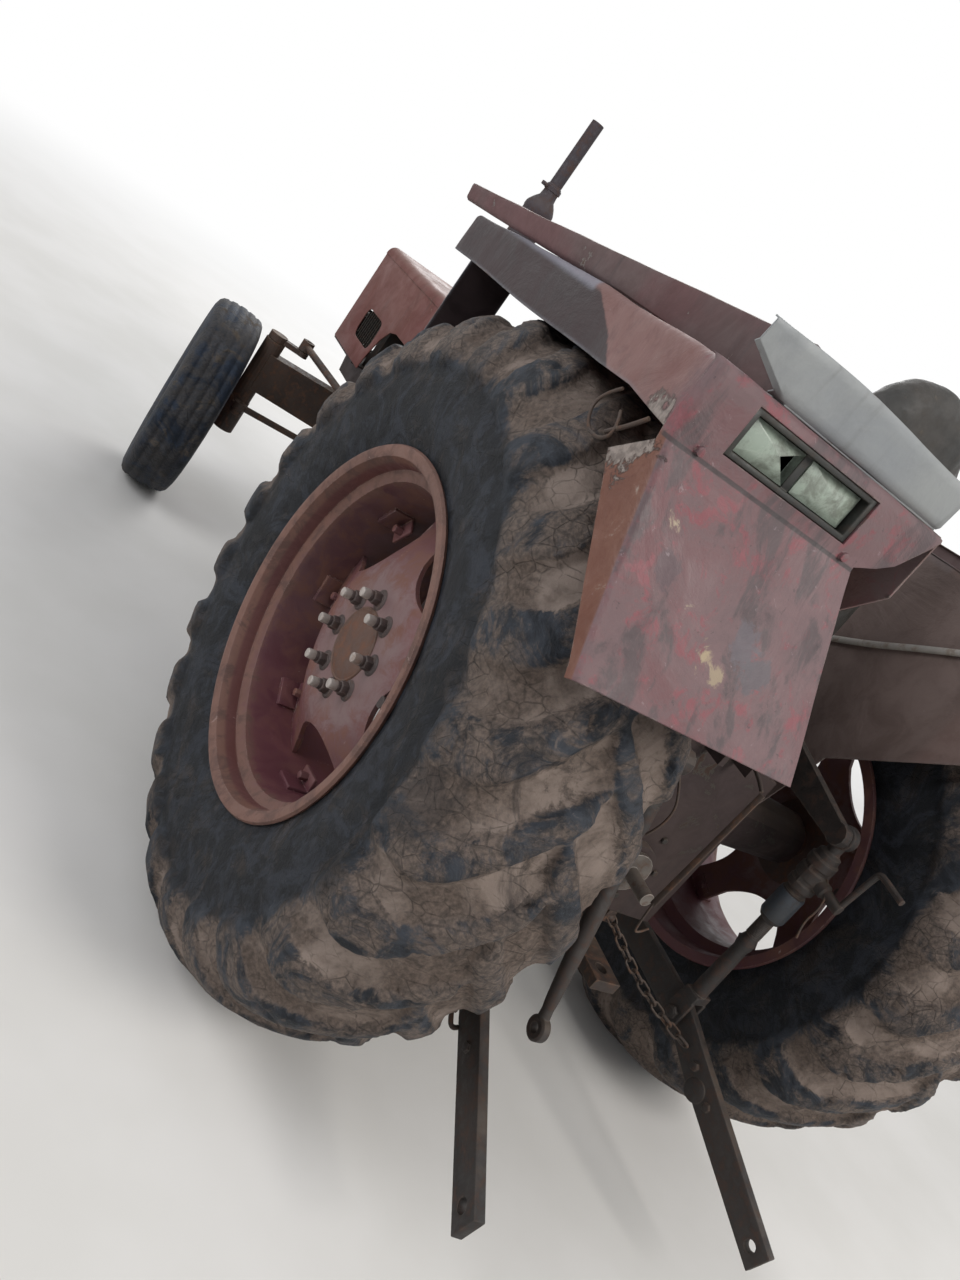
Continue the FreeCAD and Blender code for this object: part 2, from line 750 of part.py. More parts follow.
def knuckle(side, sign):
    """Kingpin, lower boss with the spindle, tie rod arm and, on the left, the upper steering arm."""
    name = f"knuckle_{side}"
    low = s.sleeve_low - 2
    pin = cylinder(name + "_pin", (0, 0, low - 20), s.sleeve_high + 30 - low + 20, s.kingpin_radius)
    boss = bar(name + "_boss", (0, 0, front_z - 42), low - front_z + 42, 42, "z", 18)
    spindle = cylinder(name + "_spindle", (0, 0, front_z), spindle_end - 1, s.spindle_radius, "x")
    tie_top = s.sleeve_low - 14
    arm_points = [(-16, 0), (-16, s.tie_arm_length), (16, s.tie_arm_length), (24, 0)]
    tie_arm = padded(name + "_tie_arm", "XY_Plane", arm_points, 16)
    place(tie_arm, (0, 0, tie_top - 16))
    tie_end = bar(name + "_tie_end", (0, s.tie_arm_length, tie_top - 16), 16, 24, "z", 16)
    stud = cylinder(name + "_tie_stud", (0, s.tie_arm_length, tie_top - 16), 16 + 14, 8)
    cap = bar(name + "_cap", (0, 0, s.sleeve_high + 2), s.arm_thick + 8, 36, "z", 16)
    pieces = [pin, boss, spindle, tie_arm, tie_end, stud, cap]
    if sign > 0:
        reach = [(0, -22), (0, 22), (-s.arm_length, 20), (-s.arm_length, -20)]
        arm = padded(name + "_arm", "XY_Plane", reach, s.arm_thick)
        place(arm, (0, 0, s.sleeve_high + 4))
        end = bar(name + "_arm_end", (-s.arm_length, 0, s.sleeve_high + 4), s.arm_thick, 24, "z", 16)
        ball_stud = cylinder(name + "_arm_stud", (-s.arm_length, 0, s.sleeve_high + 4), s.arm_thick + 48, 9)
        pieces += [arm, end, ball_stud]
    whole = fuse(name + "_whole", *pieces)
    if sign < 0:
        # the right spindle points the other way while both tie rod arms point back
        other = mirrored(name + "_mirror", whole)
        place(other, (-s.kingpin_x, front_y, 0), (0, 0, 1), s.steer_rest)
        return node(name, other)
    place(whole, (s.kingpin_x, front_y, 0), (0, 0, 1), s.steer_rest)
    return node(name, whole)


for side, sign in (("left", 1), ("right", -1)):
    front_wheel(side, sign)
    knuckle(side, sign)


# Tie rod and drag link

def tie_rod():
    height = s.sleeve_low - 14 + s.tie_rod_radius + 4
    left = steered(1, 0, s.tie_arm_length)
    start = (left[0] - 2 * s.kingpin_x + 22, left[1], height)
    pieces = [bar("tie_rod_bar", start, 2 * s.kingpin_x - 44, s.tie_rod_radius, "x")]
    holes = []
    for tag, x in (("left", left[0]), ("right", left[0] - 2 * s.kingpin_x)):
        foot = (x, left[1], height - s.tie_rod_radius - 2)
        pieces.append(bar("tie_rod_end_" + tag, foot, 2 * s.tie_rod_radius + 4, 24, "z", 16))
        holes.append(cylinder("tie_rod_hole_" + tag, foot, 2 * s.tie_rod_radius + 4, 8 + s.run_gap))
    whole = fuse("tie_rod_whole", *pieces)
    return node("tie_rod", cut("tie_rod_cut", whole, fuse("tie_rod_holes", *holes)))


tie_rod()

drag_height = s.sleeve_high + 4 + s.arm_thick + 2
drag_front = steered(1, -s.arm_length, 0)
drop_y = rear_y + s.drop_arm_y
drop_swing = s.arm_length * sine(-s.steer_rest)
drag_eye_half = 14


def drag_link():
    middle = drag_height + 22
    front = vector(*drag_front, middle)
    back = vector(s.drop_arm_x, drop_y + drop_swing, middle)
    shank = flat_rod(front, back, s.drag_rod_radius)
    ball_foot = vector(*drag_front, drag_height + 1)
    ball = flat_rod(ball_foot, ball_foot + vector(0, 0, 42), 25, 16)
    eye_side = vector(drag_eye_half, 0, 0)
    eye = flat_rod(back - eye_side, back + eye_side, 25, 16)
    hole = Part.makeCylinder(9 + float(s.run_gap), 60, vector(*drag_front, drag_height - 5))
    return node("drag_link", made("drag_link_body", shank.fuse([ball, eye]).cut(hole)))


drag_link()


def drop_arm():
    """Hangs from the steering box's shaft, beside the drag link's rear eye."""
    drag_z = drag_height + 22
    top = drag_z + s.arm_length * cosine(s.steer_rest)
    x = s.drop_arm_x - drag_eye_half - 9 - 18
    hub = bar("drop_arm_hub", (0, 0, 0), 18, 30, "x", 16)
    points = [(-24, 0), (-17, -s.arm_length), (17, -s.arm_length), (24, 0)]
    plate = padded("drop_arm_plate", "YZ_Plane", points, 18)
    end = bar("drop_arm_end", (0, 0, -s.arm_length), 18, 22, "x")
    shaft_start = s.bell_half - 30 - x
    shaft = cylinder("drop_arm_shaft", (shaft_start, 0, 0), -shaft_start + 5, 16, "x")
    arm = fuse("drop_arm_whole", hub, plate, end, shaft)
    place(arm, (x, drop_y, top), (1, 0, 0), -s.steer_rest)
    return node("drop_arm", arm)


drop_arm()
drop_shaft_z = drag_height + 22 + s.arm_length * cosine(s.steer_rest)


# Front axle beam and the bolster that carries it

def front_axle():
    top = s.beam_low + s.beam_height
    half_depth = s.beam_depth / 2
    points = [
        (-s.kingpin_x, s.beam_low),
        (-s.kingpin_x, top),
        (s.kingpin_x, top),
        (s.kingpin_x, s.beam_low),
        (150, s.beam_low - 14),
        (-150, s.beam_low - 14),
    ]
    beam = padded("front_axle_beam", "XZ_Plane", points, s.beam_depth, middle=True)
    place(beam, (0, front_y, 0))
    pieces = [beam]
    bores = [cylinder("front_axle_pivot_bore", (0, front_y - half_depth - 1, s.beam_low + s.beam_height / 2),
                      s.beam_depth + 2, 26, "y")]
    for tag, sign in (("left", 1), ("right", -1)):
        foot = (sign * s.kingpin_x, front_y, s.sleeve_low)
        pieces.append(bar("front_axle_sleeve_" + tag, foot, s.sleeve_high - s.sleeve_low, s.sleeve_radius, "z", 18))
        bores.append(cylinder("front_axle_bore_" + tag, foot, s.sleeve_high - s.sleeve_low,
                              s.kingpin_radius + s.run_gap))
    whole = fuse("front_axle_whole", *pieces)
    return node("front_axle", cut("front_axle_cut", whole, fuse("front_axle_bores", *bores)))


front_axle()


nose_depth = 330


def front_bolster():
    """Cast support: deck under the radiator, a fork with the beam's pivot pin, and a towing jaw."""
    top = s.nose_low - 6
    low = s.beam_low + s.beam_height + 20
    pin_z = s.beam_low + s.beam_height / 2
    half = s.beam_depth / 2 + 0.5
    back = rear_y + s.engine_front
    jaw = rear_y - s.front_reach
    deck_points = [
        (jaw + 110, low),
        (jaw + 60, top),
        (back, top),
        (back, low),
    ]
    deck = padded("bolster_deck", "YZ_Plane", deck_points, 2 * s.engine_half, middle=True)
    front_ear = box("bolster_front_ear", (-70, front_y - half - 34, pin_z - 45), (70, front_y - half, top - 1))
    back_ear = box("bolster_back_ear", (-70, front_y + half, pin_z - 45), (70, front_y + half + 34, top - 1))
    pin = cylinder("bolster_pin", (0, front_y - half - 44, pin_z), s.beam_depth + 90, 26 - s.seat_gap, "y")
    cradle_half = s.hood_half - s.panel_wall - s.seat_gap
    cradle = box("bolster_cradle", (-cradle_half, rear_y + s.hood_front + 2, top - 1),
                 (cradle_half, rear_y + s.hood_front + nose_depth, s.nose_low))
    jaw_low = box("bolster_jaw_low", (-60, jaw, low + 4), (60, jaw + 140, low + 26))
    jaw_high = box("bolster_jaw_high", (-60, jaw, top - 26), (60, jaw + 140, top - 4))
    hole = cylinder("bolster_jaw_hole", (0, jaw + 34, low - 10), top - low + 20, 14)
    whole = fuse("bolster_whole", deck, front_ear, back_ear, pin, cradle, jaw_low, jaw_high)
    return node("front_bolster", cut("bolster_cut", whole, hole))


front_bolster()


# Engine, cooling and exhaust

def engine():
    front = rear_y + s.engine_front
    back = rear_y + s.engine_back
    half = s.engine_half
    case = box("engine_case", (-half, front, s.crankcase_low), (half, back, s.deck))
    sump_points = [
        (-half + 45, s.sump_low),
        (-half + 10, s.crankcase_low),
        (half - 10, s.crankcase_low),
        (half - 45, s.sump_low),
    ]
    sump = padded("engine_sump", "XZ_Plane", sump_points, s.engine_back - s.engine_front - 90, reverse=True)
    place(sump, (0, front + 30, 0))
    pump = bar("engine_injection_pump", (-half - 42, front + 150, 790), 290, 44, "y")
    pump_foot = box("engine_pump_foot", (-half - 42, front + 150, 770), (-half + 1, front + 240, 830))
    filter_one = bar("engine_filter_front", (-half - 40, front + 500, 800), 170, 42)
    filter_foot = box("engine_filter_foot", (-half - 40, front + 470, 930), (-half + 1, front + 530, 975))
    starter_z = s.crankcase_low + 80
    starter = bar("engine_starter", (half + 44, back - 270, starter_z), 265, 46, "y")
    starter_foot = box("engine_starter_foot", (half - 1, back - 60, starter_z - 30),
                       (half + 44, back - 5, starter_z + 30))
    oil_filter = bar("engine_oil_filter", (half + 48, front + 330, 640), 180, 46)
    oil_foot = box("engine_oil_foot", (half - 1, front + 300, 800), (half + 48, front + 360, 840))
    return node("engine_block", fuse("engine_whole", case, sump, pump, pump_foot, filter_one, filter_foot,
                                     starter, starter_foot, oil_filter, oil_foot))


engine()


def cylinder_head():
    front = rear_y + s.engine_front + 20
    back = rear_y + s.engine_back - 20
    top = s.deck + s.head_height
    head = box("head_casting", (-120, front, s.deck), (120, back, top))
    cover = box("head_rocker_cover", (-95, front + 20, top), (60, back - 20, top + s.rocker_height))
    inlet = box("head_inlet_manifold", (-165, front + 60, top - 70), (-120, back - 60, top - 20))
    return node("cylinder_head", fuse("head_whole", head, cover, inlet))


cylinder_head()


def exhaust():
    """Cast manifold on the head's left side, riser, silencer through the hood and plain tail pipe."""
    y = rear_y + s.exhaust_y
    head_top = s.deck + s.head_height
    manifold = box("exhaust_manifold", (120, y - 26, head_top - 66), (178, y + 520, head_top - 8))
    outlet = box("exhaust_outlet", (122, y - 26, head_top - 60), (178, y + 26, head_top + 30))
    elbow = box("exhaust_elbow", (98, y - 26, head_top + 6), (178, y + 26, head_top + 30))
    riser = bar("exhaust_riser", (s.exhaust_x + 24, y, head_top + 20), hood_top + 70 - head_top,
                     s.tailpipe_radius)
    body = bar("exhaust_muffler", (s.exhaust_x, y, hood_top + 60), muffler_top - 40 - hood_top - 60,
               s.muffler_radius, "z", 18)
    dome = place(made("exhaust_dome", flat_cone(40, s.muffler_radius, s.tailpipe_radius + 6, 18)),
                 (s.exhaust_x, y, muffler_top - 40), (0, 1, 0), -90)
    pipe = bar("exhaust_tailpipe", (s.exhaust_x, y, muffler_top - 60), tailpipe_top - muffler_top + 60,
                    s.tailpipe_radius)
    bore = bar("exhaust_bore", (s.exhaust_x, y, muffler_top - 30), tailpipe_top - muffler_top + 40,
                    s.tailpipe_radius - 3)
    whole = fuse("exhaust_whole", manifold, outlet, elbow, riser, body, dome, pipe)
    return node("exhaust", cut("exhaust_cut", whole, bore))


exhaust()

fan_z = (s.nose_low + hood_top) / 2
fan_blades = 6


def cooling_fan():
    """Hub and pulley on a bracket at the front of the crankcase, and six twisted blades."""
    back = rear_y + s.engine_front
    tips = (hood_top - s.nose_low) / 2 - s.fan_clear
    bracket = box("fan_bracket", (-40, back - 26, s.nose_low + 20), (40, back, fan_z))
    hub = bar("fan_hub", (0, back - 62, fan_z), 40, 45, "y")
    pulley = bar("fan_pulley", (0, back - 26, fan_z), 26, 62, "y", 18)
    blades = []
    for index in range(fan_blades):
        blade = Part.makeBox(4, 34, float(tips) - 40, vector(-2, -17, 40))
        blade.rotate(vector(0, 0, 0), vector(0, 0, 1), 55)
        blade.rotate(vector(0, 0, 0), vector(0, 1, 0), 360.0 * index / fan_blades)
        blades.append(blade)
    ring = made("fan_blades", settled(*blades), (0, back - 42, fan_z))
    return node("cooling_fan", fuse("fan_whole", bracket, hub, pulley, ring))


cooling_fan()


def radiator():
    back = rear_y + s.engine_front - 80
    front = back - 90
    low = s.nose_low
    top = hood_top - 60
    core = box("radiator_core", (-s.radiator_half, front + 15, low + 50), (s.radiator_half, back - 15, top - 50))
    upper = box("radiator_upper_tank", (-s.radiator_half, front, top - 60), (s.radiator_half, back, top))
    lower = box("radiator_lower_tank", (-s.radiator_half, front, low), (s.radiator_half, back, low + 60))
    return node("radiator", fuse("radiator_whole", core, upper, lower))


radiator()


# Gearbox, rear housing with its axle trumpets, lift cover

gearbox_lid_height = 26


def gearbox():
    bell_front = rear_y + s.engine_back
    bell_back = rear_y + s.gearbox_front
    back = rear_y + s.gearbox_back
    bell = padded("gearbox_bell", "XY_Plane", [
        (-s.bell_half, bell_front),
        (s.bell_half, bell_front),
        (s.bell_half, bell_front + 30),
        (s.gearbox_half, bell_back),
        (-s.gearbox_half, bell_back),
        (-s.bell_half, bell_front + 30),
    ], s.deck - s.sump_low)
    place(bell, (0, 0, s.sump_low))
    case = box("gearbox_case", (-s.gearbox_half, bell_back - 1, s.sump_low + 10), (s.gearbox_half, back, s.deck))
    steering_box = box("gearbox_steering_box", (s.gearbox_half - 60, drop_y - 55, s.crankcase_low + 200),
                       (s.bell_half - 12, drop_y + 60, drop_shaft_z + 45))
    shaft_bore = cylinder("gearbox_shaft_bore", (s.bell_half - 34, drop_y, drop_shaft_z), 40,
                          16 + s.run_gap, "x")
    lid = box("gearbox_lid", (-120, bell_back + 100, s.deck), (120, back - 120, s.deck + gearbox_lid_height))
    lever_top = vector(40, rear_y + s.lever_y, s.deck + s.lever_height)
    lever_foot = vector(0, rear_y + s.lever_y + 120, s.deck + 20)
    lever = flat_rod(lever_foot, lever_top, 9, 8)
    knob = flat_rod(lever_top - vector(0, 0, 20), lever_top + vector(0, 0, 20), 21)
    gear_lever = made("gearbox_lever", lever.fuse(knob))
    whole = fuse("gearbox_whole", bell, case, steering_box, lid, gear_lever)
    return node("gearbox_housing", cut("gearbox_cut", whole, shaft_bore))


gearbox()


def rear_housing():
    front = rear_y + s.gearbox_back
    back = rear_y + s.centre_back
    centre = box("rear_centre", (-s.centre_half, front, s.sump_low), (s.centre_half, back, s.deck))
    pto_boss = bar("rear_pto_boss", (0, back - 1, s.pto_z), 26, 70, "y", 18)
    pieces = [centre, pto_boss]
    bores = []
    for tag, sign in (("left", 1), ("right", -1)):
        length = s.trumpet_end - s.centre_half + 1
        start = (sign * (s.centre_half - 1), rear_y, rear_z)
        casting = flat_cone(sign * length, s.trumpet_radius, s.trumpet_end_radius)
        trumpet = made(f"rear_trumpet_{tag}", casting, start)
        shaft = cylinder(f"rear_bore_{tag}", (0, 0, 0), s.shaft_grip + 5, s.rear_shaft_radius + s.run_gap)
        place(shaft, (sign * (s.trumpet_end - s.shaft_grip - 5), rear_y, rear_z), (0, 1, 0), 90 * sign)
        pin_start = (sign * (s.centre_half - 40), rear_y + s.link_pivot_y, s.link_pivot_z)
        pin = cylinder(f"rear_link_pin_{tag}", (0, 0, 0), s.link_pivot_x + 44 - s.centre_half + 40, s.link_pin_radius)
        place(pin, pin_start, (0, 1, 0), 90 * sign)
        collar = bar(f"rear_link_collar_{tag}", (0, 0, 0), 12, 26)
        place(collar, (sign * (s.link_pivot_x + 30), rear_y + s.link_pivot_y, s.link_pivot_z), (0, 1, 0), 90 * sign)
        low_x = s.centre_half - 42 if sign > 0 else -s.centre_half + 12
        high_x = s.centre_half - 12 if sign > 0 else -s.centre_half + 42
        bracket = box(f"rear_link_bracket_{tag}",
                      (low_x, rear_y + s.link_pivot_y - 45, s.link_pivot_z - 40),
                      (high_x, rear_y + s.link_pivot_y + 45, s.sump_low + 1))
        pieces += [trumpet, pin, collar, bracket]
        bores.append(shaft)
    whole = fuse("rear_whole", *pieces)
    return node("rear_housing", cut("rear_cut", whole, fuse("rear_bores", *bores)))


rear_housing()


def lift_cover():
    """Hydraulic top housing that carries the rockshaft, with the upper link's bracket at its back."""
    back = rear_y + s.centre_back
    shaft_y = rear_y + s.rockshaft_y
    top = s.deck + s.cover_height
    points = [
        (rear_y - 250, s.deck),
        (rear_y - 250, s.deck + 60),
        (rear_y - 170, top),
        (back - 40, top),
        (back, s.deck + 80),
        (back, s.deck),
    ]
    body = padded("cover_body", "YZ_Plane", points, 2 * s.cover_half, middle=True)
    bore = cylinder("cover_rockshaft_bore", (-s.cover_half - 1, shaft_y, rockshaft_z), 2 * s.cover_half + 2,
                    s.rockshaft_radius + s.run_gap, "x")
    ear_points = [
        (back - 2, s.deck + 2),
        (back - 2, s.deck + 78),
        (back + 60, s.deck + 60),
        (back + 60, s.deck + 2),
    ]
    pieces = [body]
    for tag, x in (("left", 40), ("right", -56)):
        ear = padded(f"cover_toplink_ear_{tag}", "YZ_Plane", ear_points, 16)
        pieces.append(place(ear, (x, 0, 0)))
    hole = cylinder("cover_toplink_hole", (-80, back + 34, s.deck + 32), 160, s.toplink_bore_radius, "x")
    whole = fuse("cover_whole", *pieces)
    return node("lift_cover", cut("cover_cut", whole, fuse("cover_bores", bore, hole)))


lift_cover()


def pto_and_drawbar():
    back = rear_y + s.centre_back + 25
    cap = bar("pto_cap", (0, back, s.pto_z), 12, 55, "y", 18)
    shaft = cylinder("pto_stub", (0, back, s.pto_z), 98, s.pto_radius, "y")
    node("pto_shaft", fuse("pto_whole", cap, shaft))
    beam = box("drawbar_bar", (-38, rear_y - 300, s.sump_low - 75), (38, rear_y + s.drawbar_reach, s.sump_low - 47))
    hanger = box("drawbar_hanger", (-90, rear_y + s.centre_back - 60, s.sump_low - 48),
                 (90, rear_y + s.centre_back - 30, s.sump_low))
    front_hanger = box("drawbar_front_hanger", (-60, rear_y - 290, s.sump_low - 48), (60, rear_y - 230, s.sump_low))
    hole = cylinder("drawbar_hole", (0, rear_y + s.drawbar_reach - 42, s.sump_low - 85), 50, s.drawbar_hole_radius)
    whole = fuse("drawbar_whole", beam, hanger, front_hanger)
    node("drawbar", cut("drawbar_cut", whole, hole))


pto_and_drawbar()


# Three-point linkage

arm_tip_y = rear_y + s.rockshaft_y + s.lift_arm_length * cosine(s.lift_arm_droop)
arm_tip_z = rockshaft_z - s.lift_arm_length * sine(s.lift_arm_droop)


def lift_arms():
    """Rockshaft through the lift cover with a cast arm at each end."""
    reach = s.lift_arm_x + s.lift_arm_thick / 2
    shaft = cylinder("lift_shaft", (-reach, 0, 0), 2 * reach, s.rockshaft_radius, "x")
    pieces = [shaft]
    for tag, sign in (("left", 1), ("right", -1)):
        low_x = s.lift_arm_x - s.lift_arm_thick / 2
        start = low_x if sign > 0 else -low_x - s.lift_arm_thick
        points = [(0, -46), (-30, 30), (0, 48), (s.lift_arm_length, 24), (s.lift_arm_length, -24)]
        plate = padded(f"lift_arm_plate_{tag}", "YZ_Plane", points, s.lift_arm_thick)
        place(plate, (start, 0, 0))
        root = bar(f"lift_arm_root_{tag}", (start, 0, 0), s.lift_arm_thick, 50, "x", 16)
        end = bar(f"lift_arm_end_{tag}", (start, s.lift_arm_length, 0), s.lift_arm_thick, 28, "x")
        pin_start = start if sign > 0 else start - 40
        pin = cylinder(f"lift_arm_pin_{tag}", (pin_start, s.lift_arm_length, 0), s.lift_arm_thick + 40,
                       s.lift_pin_radius, "x")
        pieces += [plate, root, end, pin]
    arms = fuse("lift_arms_whole", *pieces)
    place(arms, (0, rear_y + s.rockshaft_y, rockshaft_z), (1, 0, 0), -s.lift_arm_droop)
    return node("lift_arms", arms)


lift_arms()

eye_thick = 26
eye_gap = 4
rod_top_x = s.lift_arm_x + s.lift_arm_thick / 2 + eye_gap + eye_thick / 2


def link_point(sign, along_bar, above):
    """A point of a parked lower link: its distance from the front ball and its height above the balls' line."""
    droop, sway = (s.left_droop, s.left_sway) if sign > 0 else (s.right_droop, s.right_sway)
    out = along_bar * cosine(droop) + above * sine(droop)
    down = along_bar * sine(droop) - above * cosine(droop)
    return (
        sign * (s.link_pivot_x + out * sine(sway)),
        rear_y + s.link_pivot_y + out * cosine(sway),
        s.link_pivot_z - down,
    )


def lower_link(side, sign):
    """Flat bar with a bend at the lift rod's hole, a ball eye in front and a plain square end with a hole."""
    name = f"lower_link_{side}"
    wide = s.link_height / 2
    bend = s.link_bend
    drop = s.link_bend_drop
    length = s.link_length
    points = [
        (0, -wide + 4),
        (0, wide - 4),
        (bend - 40, drop + wide + 3),
        (bend + 50, drop + wide + 3),
        (length + s.link_end, link_end_half),
        (length + s.link_end, -link_end_half),
        (bend + 50, drop - wide - 3),
        (bend - 40, drop - wide - 3),
    ]
    beam = padded(name + "_bar", "YZ_Plane", points, s.link_thick, middle=True)
    front_eye = bar(name + "_front_eye", (-17, 0, 0), 34, 33, "x", 16)
    rear_bore = cylinder(name + "_rear_bore", (-30, length, 0), 60, s.link_bore_radius, "x")
    lift_bore = cylinder(name + "_lift_bore", (-30, bend, drop), 60, 22, "x")
    whole = fuse(name + "_whole", beam, front_eye)
    link = cut(name + "_link", whole, fuse(name + "_bores", rear_bore, lift_bore))
    droop, sway = (s.left_droop, s.left_sway) if sign > 0 else (s.right_droop, s.right_sway)
    place(link, (sign * s.link_pivot_x, rear_y + s.link_pivot_y, s.link_pivot_z))
    link.setExpression("Placement.Rotation.Yaw", (-sign * sway).formula)
    link.setExpression("Placement.Rotation.Roll", (-droop).formula)
    # the front ball's bore stays square to the tractor, so that the link can swing on its pin
    front_bore = cylinder(name + "_front_bore",
                          (sign * s.link_pivot_x - 50, rear_y + s.link_pivot_y, s.link_pivot_z),
                          100, s.link_pin_radius + s.run_gap, "x")
    return node(name, cut(name + "_cut", link, front_bore))


lower_link("left", 1)
lower_link("right", -1)

fork_gap = 7


def right_lift_rod():
    """Levelling box with its crank near the top, screwed rod and a fork astride the lower link."""
    top = vector(-rod_top_x, arm_tip_y, arm_tip_z)
    foot = vector(*link_point(-1, s.link_bend, s.link_bend_drop))
    way = (top - foot).normalize()
    eye_side = vector(eye_thick / 2, 0, 0)
    eye = flat_rod(top - eye_side, top + eye_side, 30, 16)
    upper = flat_rod(top, foot + way * 300, s.lift_rod_radius)
    lower = flat_rod(foot + way * 330, foot + way * 60, s.lift_rod_radius + 7)
    gear_box = flat_rod(top - way * 70, top - way * 165, 36, 16)
    crank_start = top - way * 118
    crank_arm = flat_rod(crank_start, crank_start + vector(-20, 105, -10), 13)
    crank = flat_rod(crank_start + vector(-20, 95, -10), crank_start + vector(-22, 105, 120), 8, 8)
    handle = flat_rod(crank_start + vector(-22, 105, 112), crank_start + vector(-22, 190, 112), 8, 8)
    half = float(s.link_thick) / 2
    inner = half + fork_gap
    yaw = FreeCAD.Rotation(vector(0, 0, 1), float(s.right_sway))
    cheeks = []
    for offset in (-inner - 12, inner):
        cheek = Part.makeBox(12, 52, 84, vector(offset, -26, -30))
        cheek.Placement = FreeCAD.Placement(foot, yaw)
        cheeks.append(cheek)
    bridge = Part.makeBox(2 * inner + 24, 52, 22, vector(-inner - 12, -26, 54))
    bridge.Placement = FreeCAD.Placement(foot, yaw)
    bolt = Part.makeCylinder(11, 2 * inner + 44, vector(-inner - 22, 0, 0), vector(1, 0, 0))
    bolt.Placement = FreeCAD.Placement(foot, yaw)
    shape = upper.fuse([lower, gear_box, eye, crank_arm, crank, handle, bridge, bolt] + cheeks)
    hole = Part.makeCylinder(float(s.lift_pin_radius + s.run_gap), 60, top - vector(30, 0, 0), vector(1, 0, 0))
    return node("lift_rod_right", made("lift_rod_right_body", shape.cut(hole)))


right_lift_rod()


def left_lift_rod():
    """The same rod without a levelling box; it has come off its lower link and hangs from the arm."""
    top = vector(rod_top_x, arm_tip_y, arm_tip_z)
    tilt = math.radians(float(s.loose_rod_tilt))
    lean = vector(10, float(s.loose_rod_length) * math.sin(tilt), -float(s.loose_rod_length) * math.cos(tilt))
    foot = top + lean
    way = vector(lean.x, lean.y, lean.z).normalize()
    eye_side = vector(eye_thick / 2, 0, 0)
    eye = flat_rod(top - eye_side, top + eye_side, 30, 16)
    shank = flat_rod(top, foot, s.lift_rod_radius)
    sleeve = flat_rod(top + way * 70, top + way * 150, s.lift_rod_radius + 8)
    end = flat_rod(foot - vector(12, 0, 0), foot + vector(12, 0, 0), 26, 16)
    shape = shank.fuse([eye, sleeve, end])
    hole = Part.makeCylinder(float(s.lift_pin_radius + s.run_gap), 60, top - vector(30, 0, 0), vector(1, 0, 0))
    end_hole = Part.makeCylinder(11.2, 60, foot - vector(30, 0, 0), vector(1, 0, 0))
    return node("lift_rod_left", made("lift_rod_left_body", shape.cut(hole).cut(end_hole)))


left_lift_rod()


# Hood, nose and grille

hood_low = hood_top - s.hood_depth


def hood():
    """Top cover: flat, with rounded edges and shallow sides, and a hole round the exhaust."""
    front = rear_y + s.hood_front
    length = s.hood_back - s.hood_front
    half = s.hood_half
    wall = s.panel_wall
    top = hood_top
    corner = s.hood_round
    points = [
        (-half, hood_low),
        (-half, top - corner),
        (-half + corner, top),
        (half - corner, top),
        (half, top - corner),
        (half, hood_low),
        (half - wall, hood_low),
        (half - wall, top - corner),
        (half - wall - corner, top - wall),
        (-half + wall + corner, top - wall),
        (-half + wall, top - corner),
        (-half + wall, hood_low),
    ]
    shell = padded("hood_shell", "XZ_Plane", points, length, reverse=True)
    place(shell, (0, front, 0))
    hole = cylinder("hood_exhaust_hole", (s.exhaust_x, rear_y + s.exhaust_y, top - 30), 60,
                    s.muffler_radius + 12)
    return node("hood", cut("hood_cut", shell, hole))


hood()


def side_panels():
    """Plate each side of the nose and engine: deep at the radiator, cut away over the axle."""
    front = rear_y + s.hood_front
    back = rear_y + s.hood_back
    arc_start = front + nose_depth
    side_low = hood_low - s.side_height
    points = [
        (front, s.nose_low),
        (front, hood_low),
        (back, hood_low),
        (back, side_low),
        (arc_start + 170, side_low),
        (arc_start + 60, side_low - 60),
        (arc_start, s.nose_low + 60),
        (arc_start, s.nose_low),
    ]
    vent_y = front + 120
    vent_z = s.nose_low + 70
    sides = []
    for tag, sign in (("left", 1), ("right", -1)):
        plate = padded(f"side_panel_plate_{tag}", "YZ_Plane", points, s.panel_wall)
        x = s.hood_half - s.panel_wall if sign > 0 else -s.hood_half
        place(plate, (x, 0, 0))
        opening = box(f"side_panel_vent_{tag}", (x - 2, vent_y, vent_z),
                      (x + 6, vent_y + s.vent_width, vent_z + s.vent_height))
        sides.append(cut(f"side_panel_{tag}", plate, opening))
    return node("side_panels", fuse("side_panels_whole", *sides))


side_panels()

bar_count = 9


def grille():
    """Front frame with level bars between the side panels."""
    front = rear_y + s.hood_front
    half = s.hood_half - s.panel_wall - 0.5
    low = s.nose_low
    top = hood_low
    frame = box("grille_frame", (-half, front + 2, low), (half, front + 22, top))
    window = box("grille_window", (-half + 30, front - 5, low + 30), (half - 30, front + 30, top - 30))
    pieces = [cut("grille_ring", frame, window)]
    step = (top - low - 60) / (bar_count + 1)
    for index in range(bar_count):
        z = low + 30 + step * (index + 1)
        pieces.append(box(f"grille_bar_{index}", (-half + 20, front + 4, z - 5), (half - 20, front + 16, z + 5)))
    return node("grille", fuse("grille_whole", *pieces))


grille()


def headlamps():
    """A round lamp in front of the grille, low on each side."""
    front = rear_y + s.hood_front
    lamps = []
    for tag, x in (("left", 190), ("right", -190)):
        lamps.append(bar(f"headlamp_{tag}", (x, front - 48, s.nose_low + 90), 50, 72, "y", 24))
    return node("headlamps", fuse("headlamps_whole", *lamps))


headlamps()


def dash():
    """Console behind the hood, leaning with the steering column."""
    back = rear_y + s.hood_back
    foot = s.deck + gearbox_lid_height
    points = [
        (back + s.seat_gap, foot),
        (back + s.seat_gap, hood_top + 40),
        (back + 90, hood_top + 70),
        (back + 130, hood_top - 20),
        (back + 110, foot),
    ]
    console = padded("dash_console", "YZ_Plane", points, 2 * s.hood_half - 20, middle=True)
    return node("dash", console)


dash()

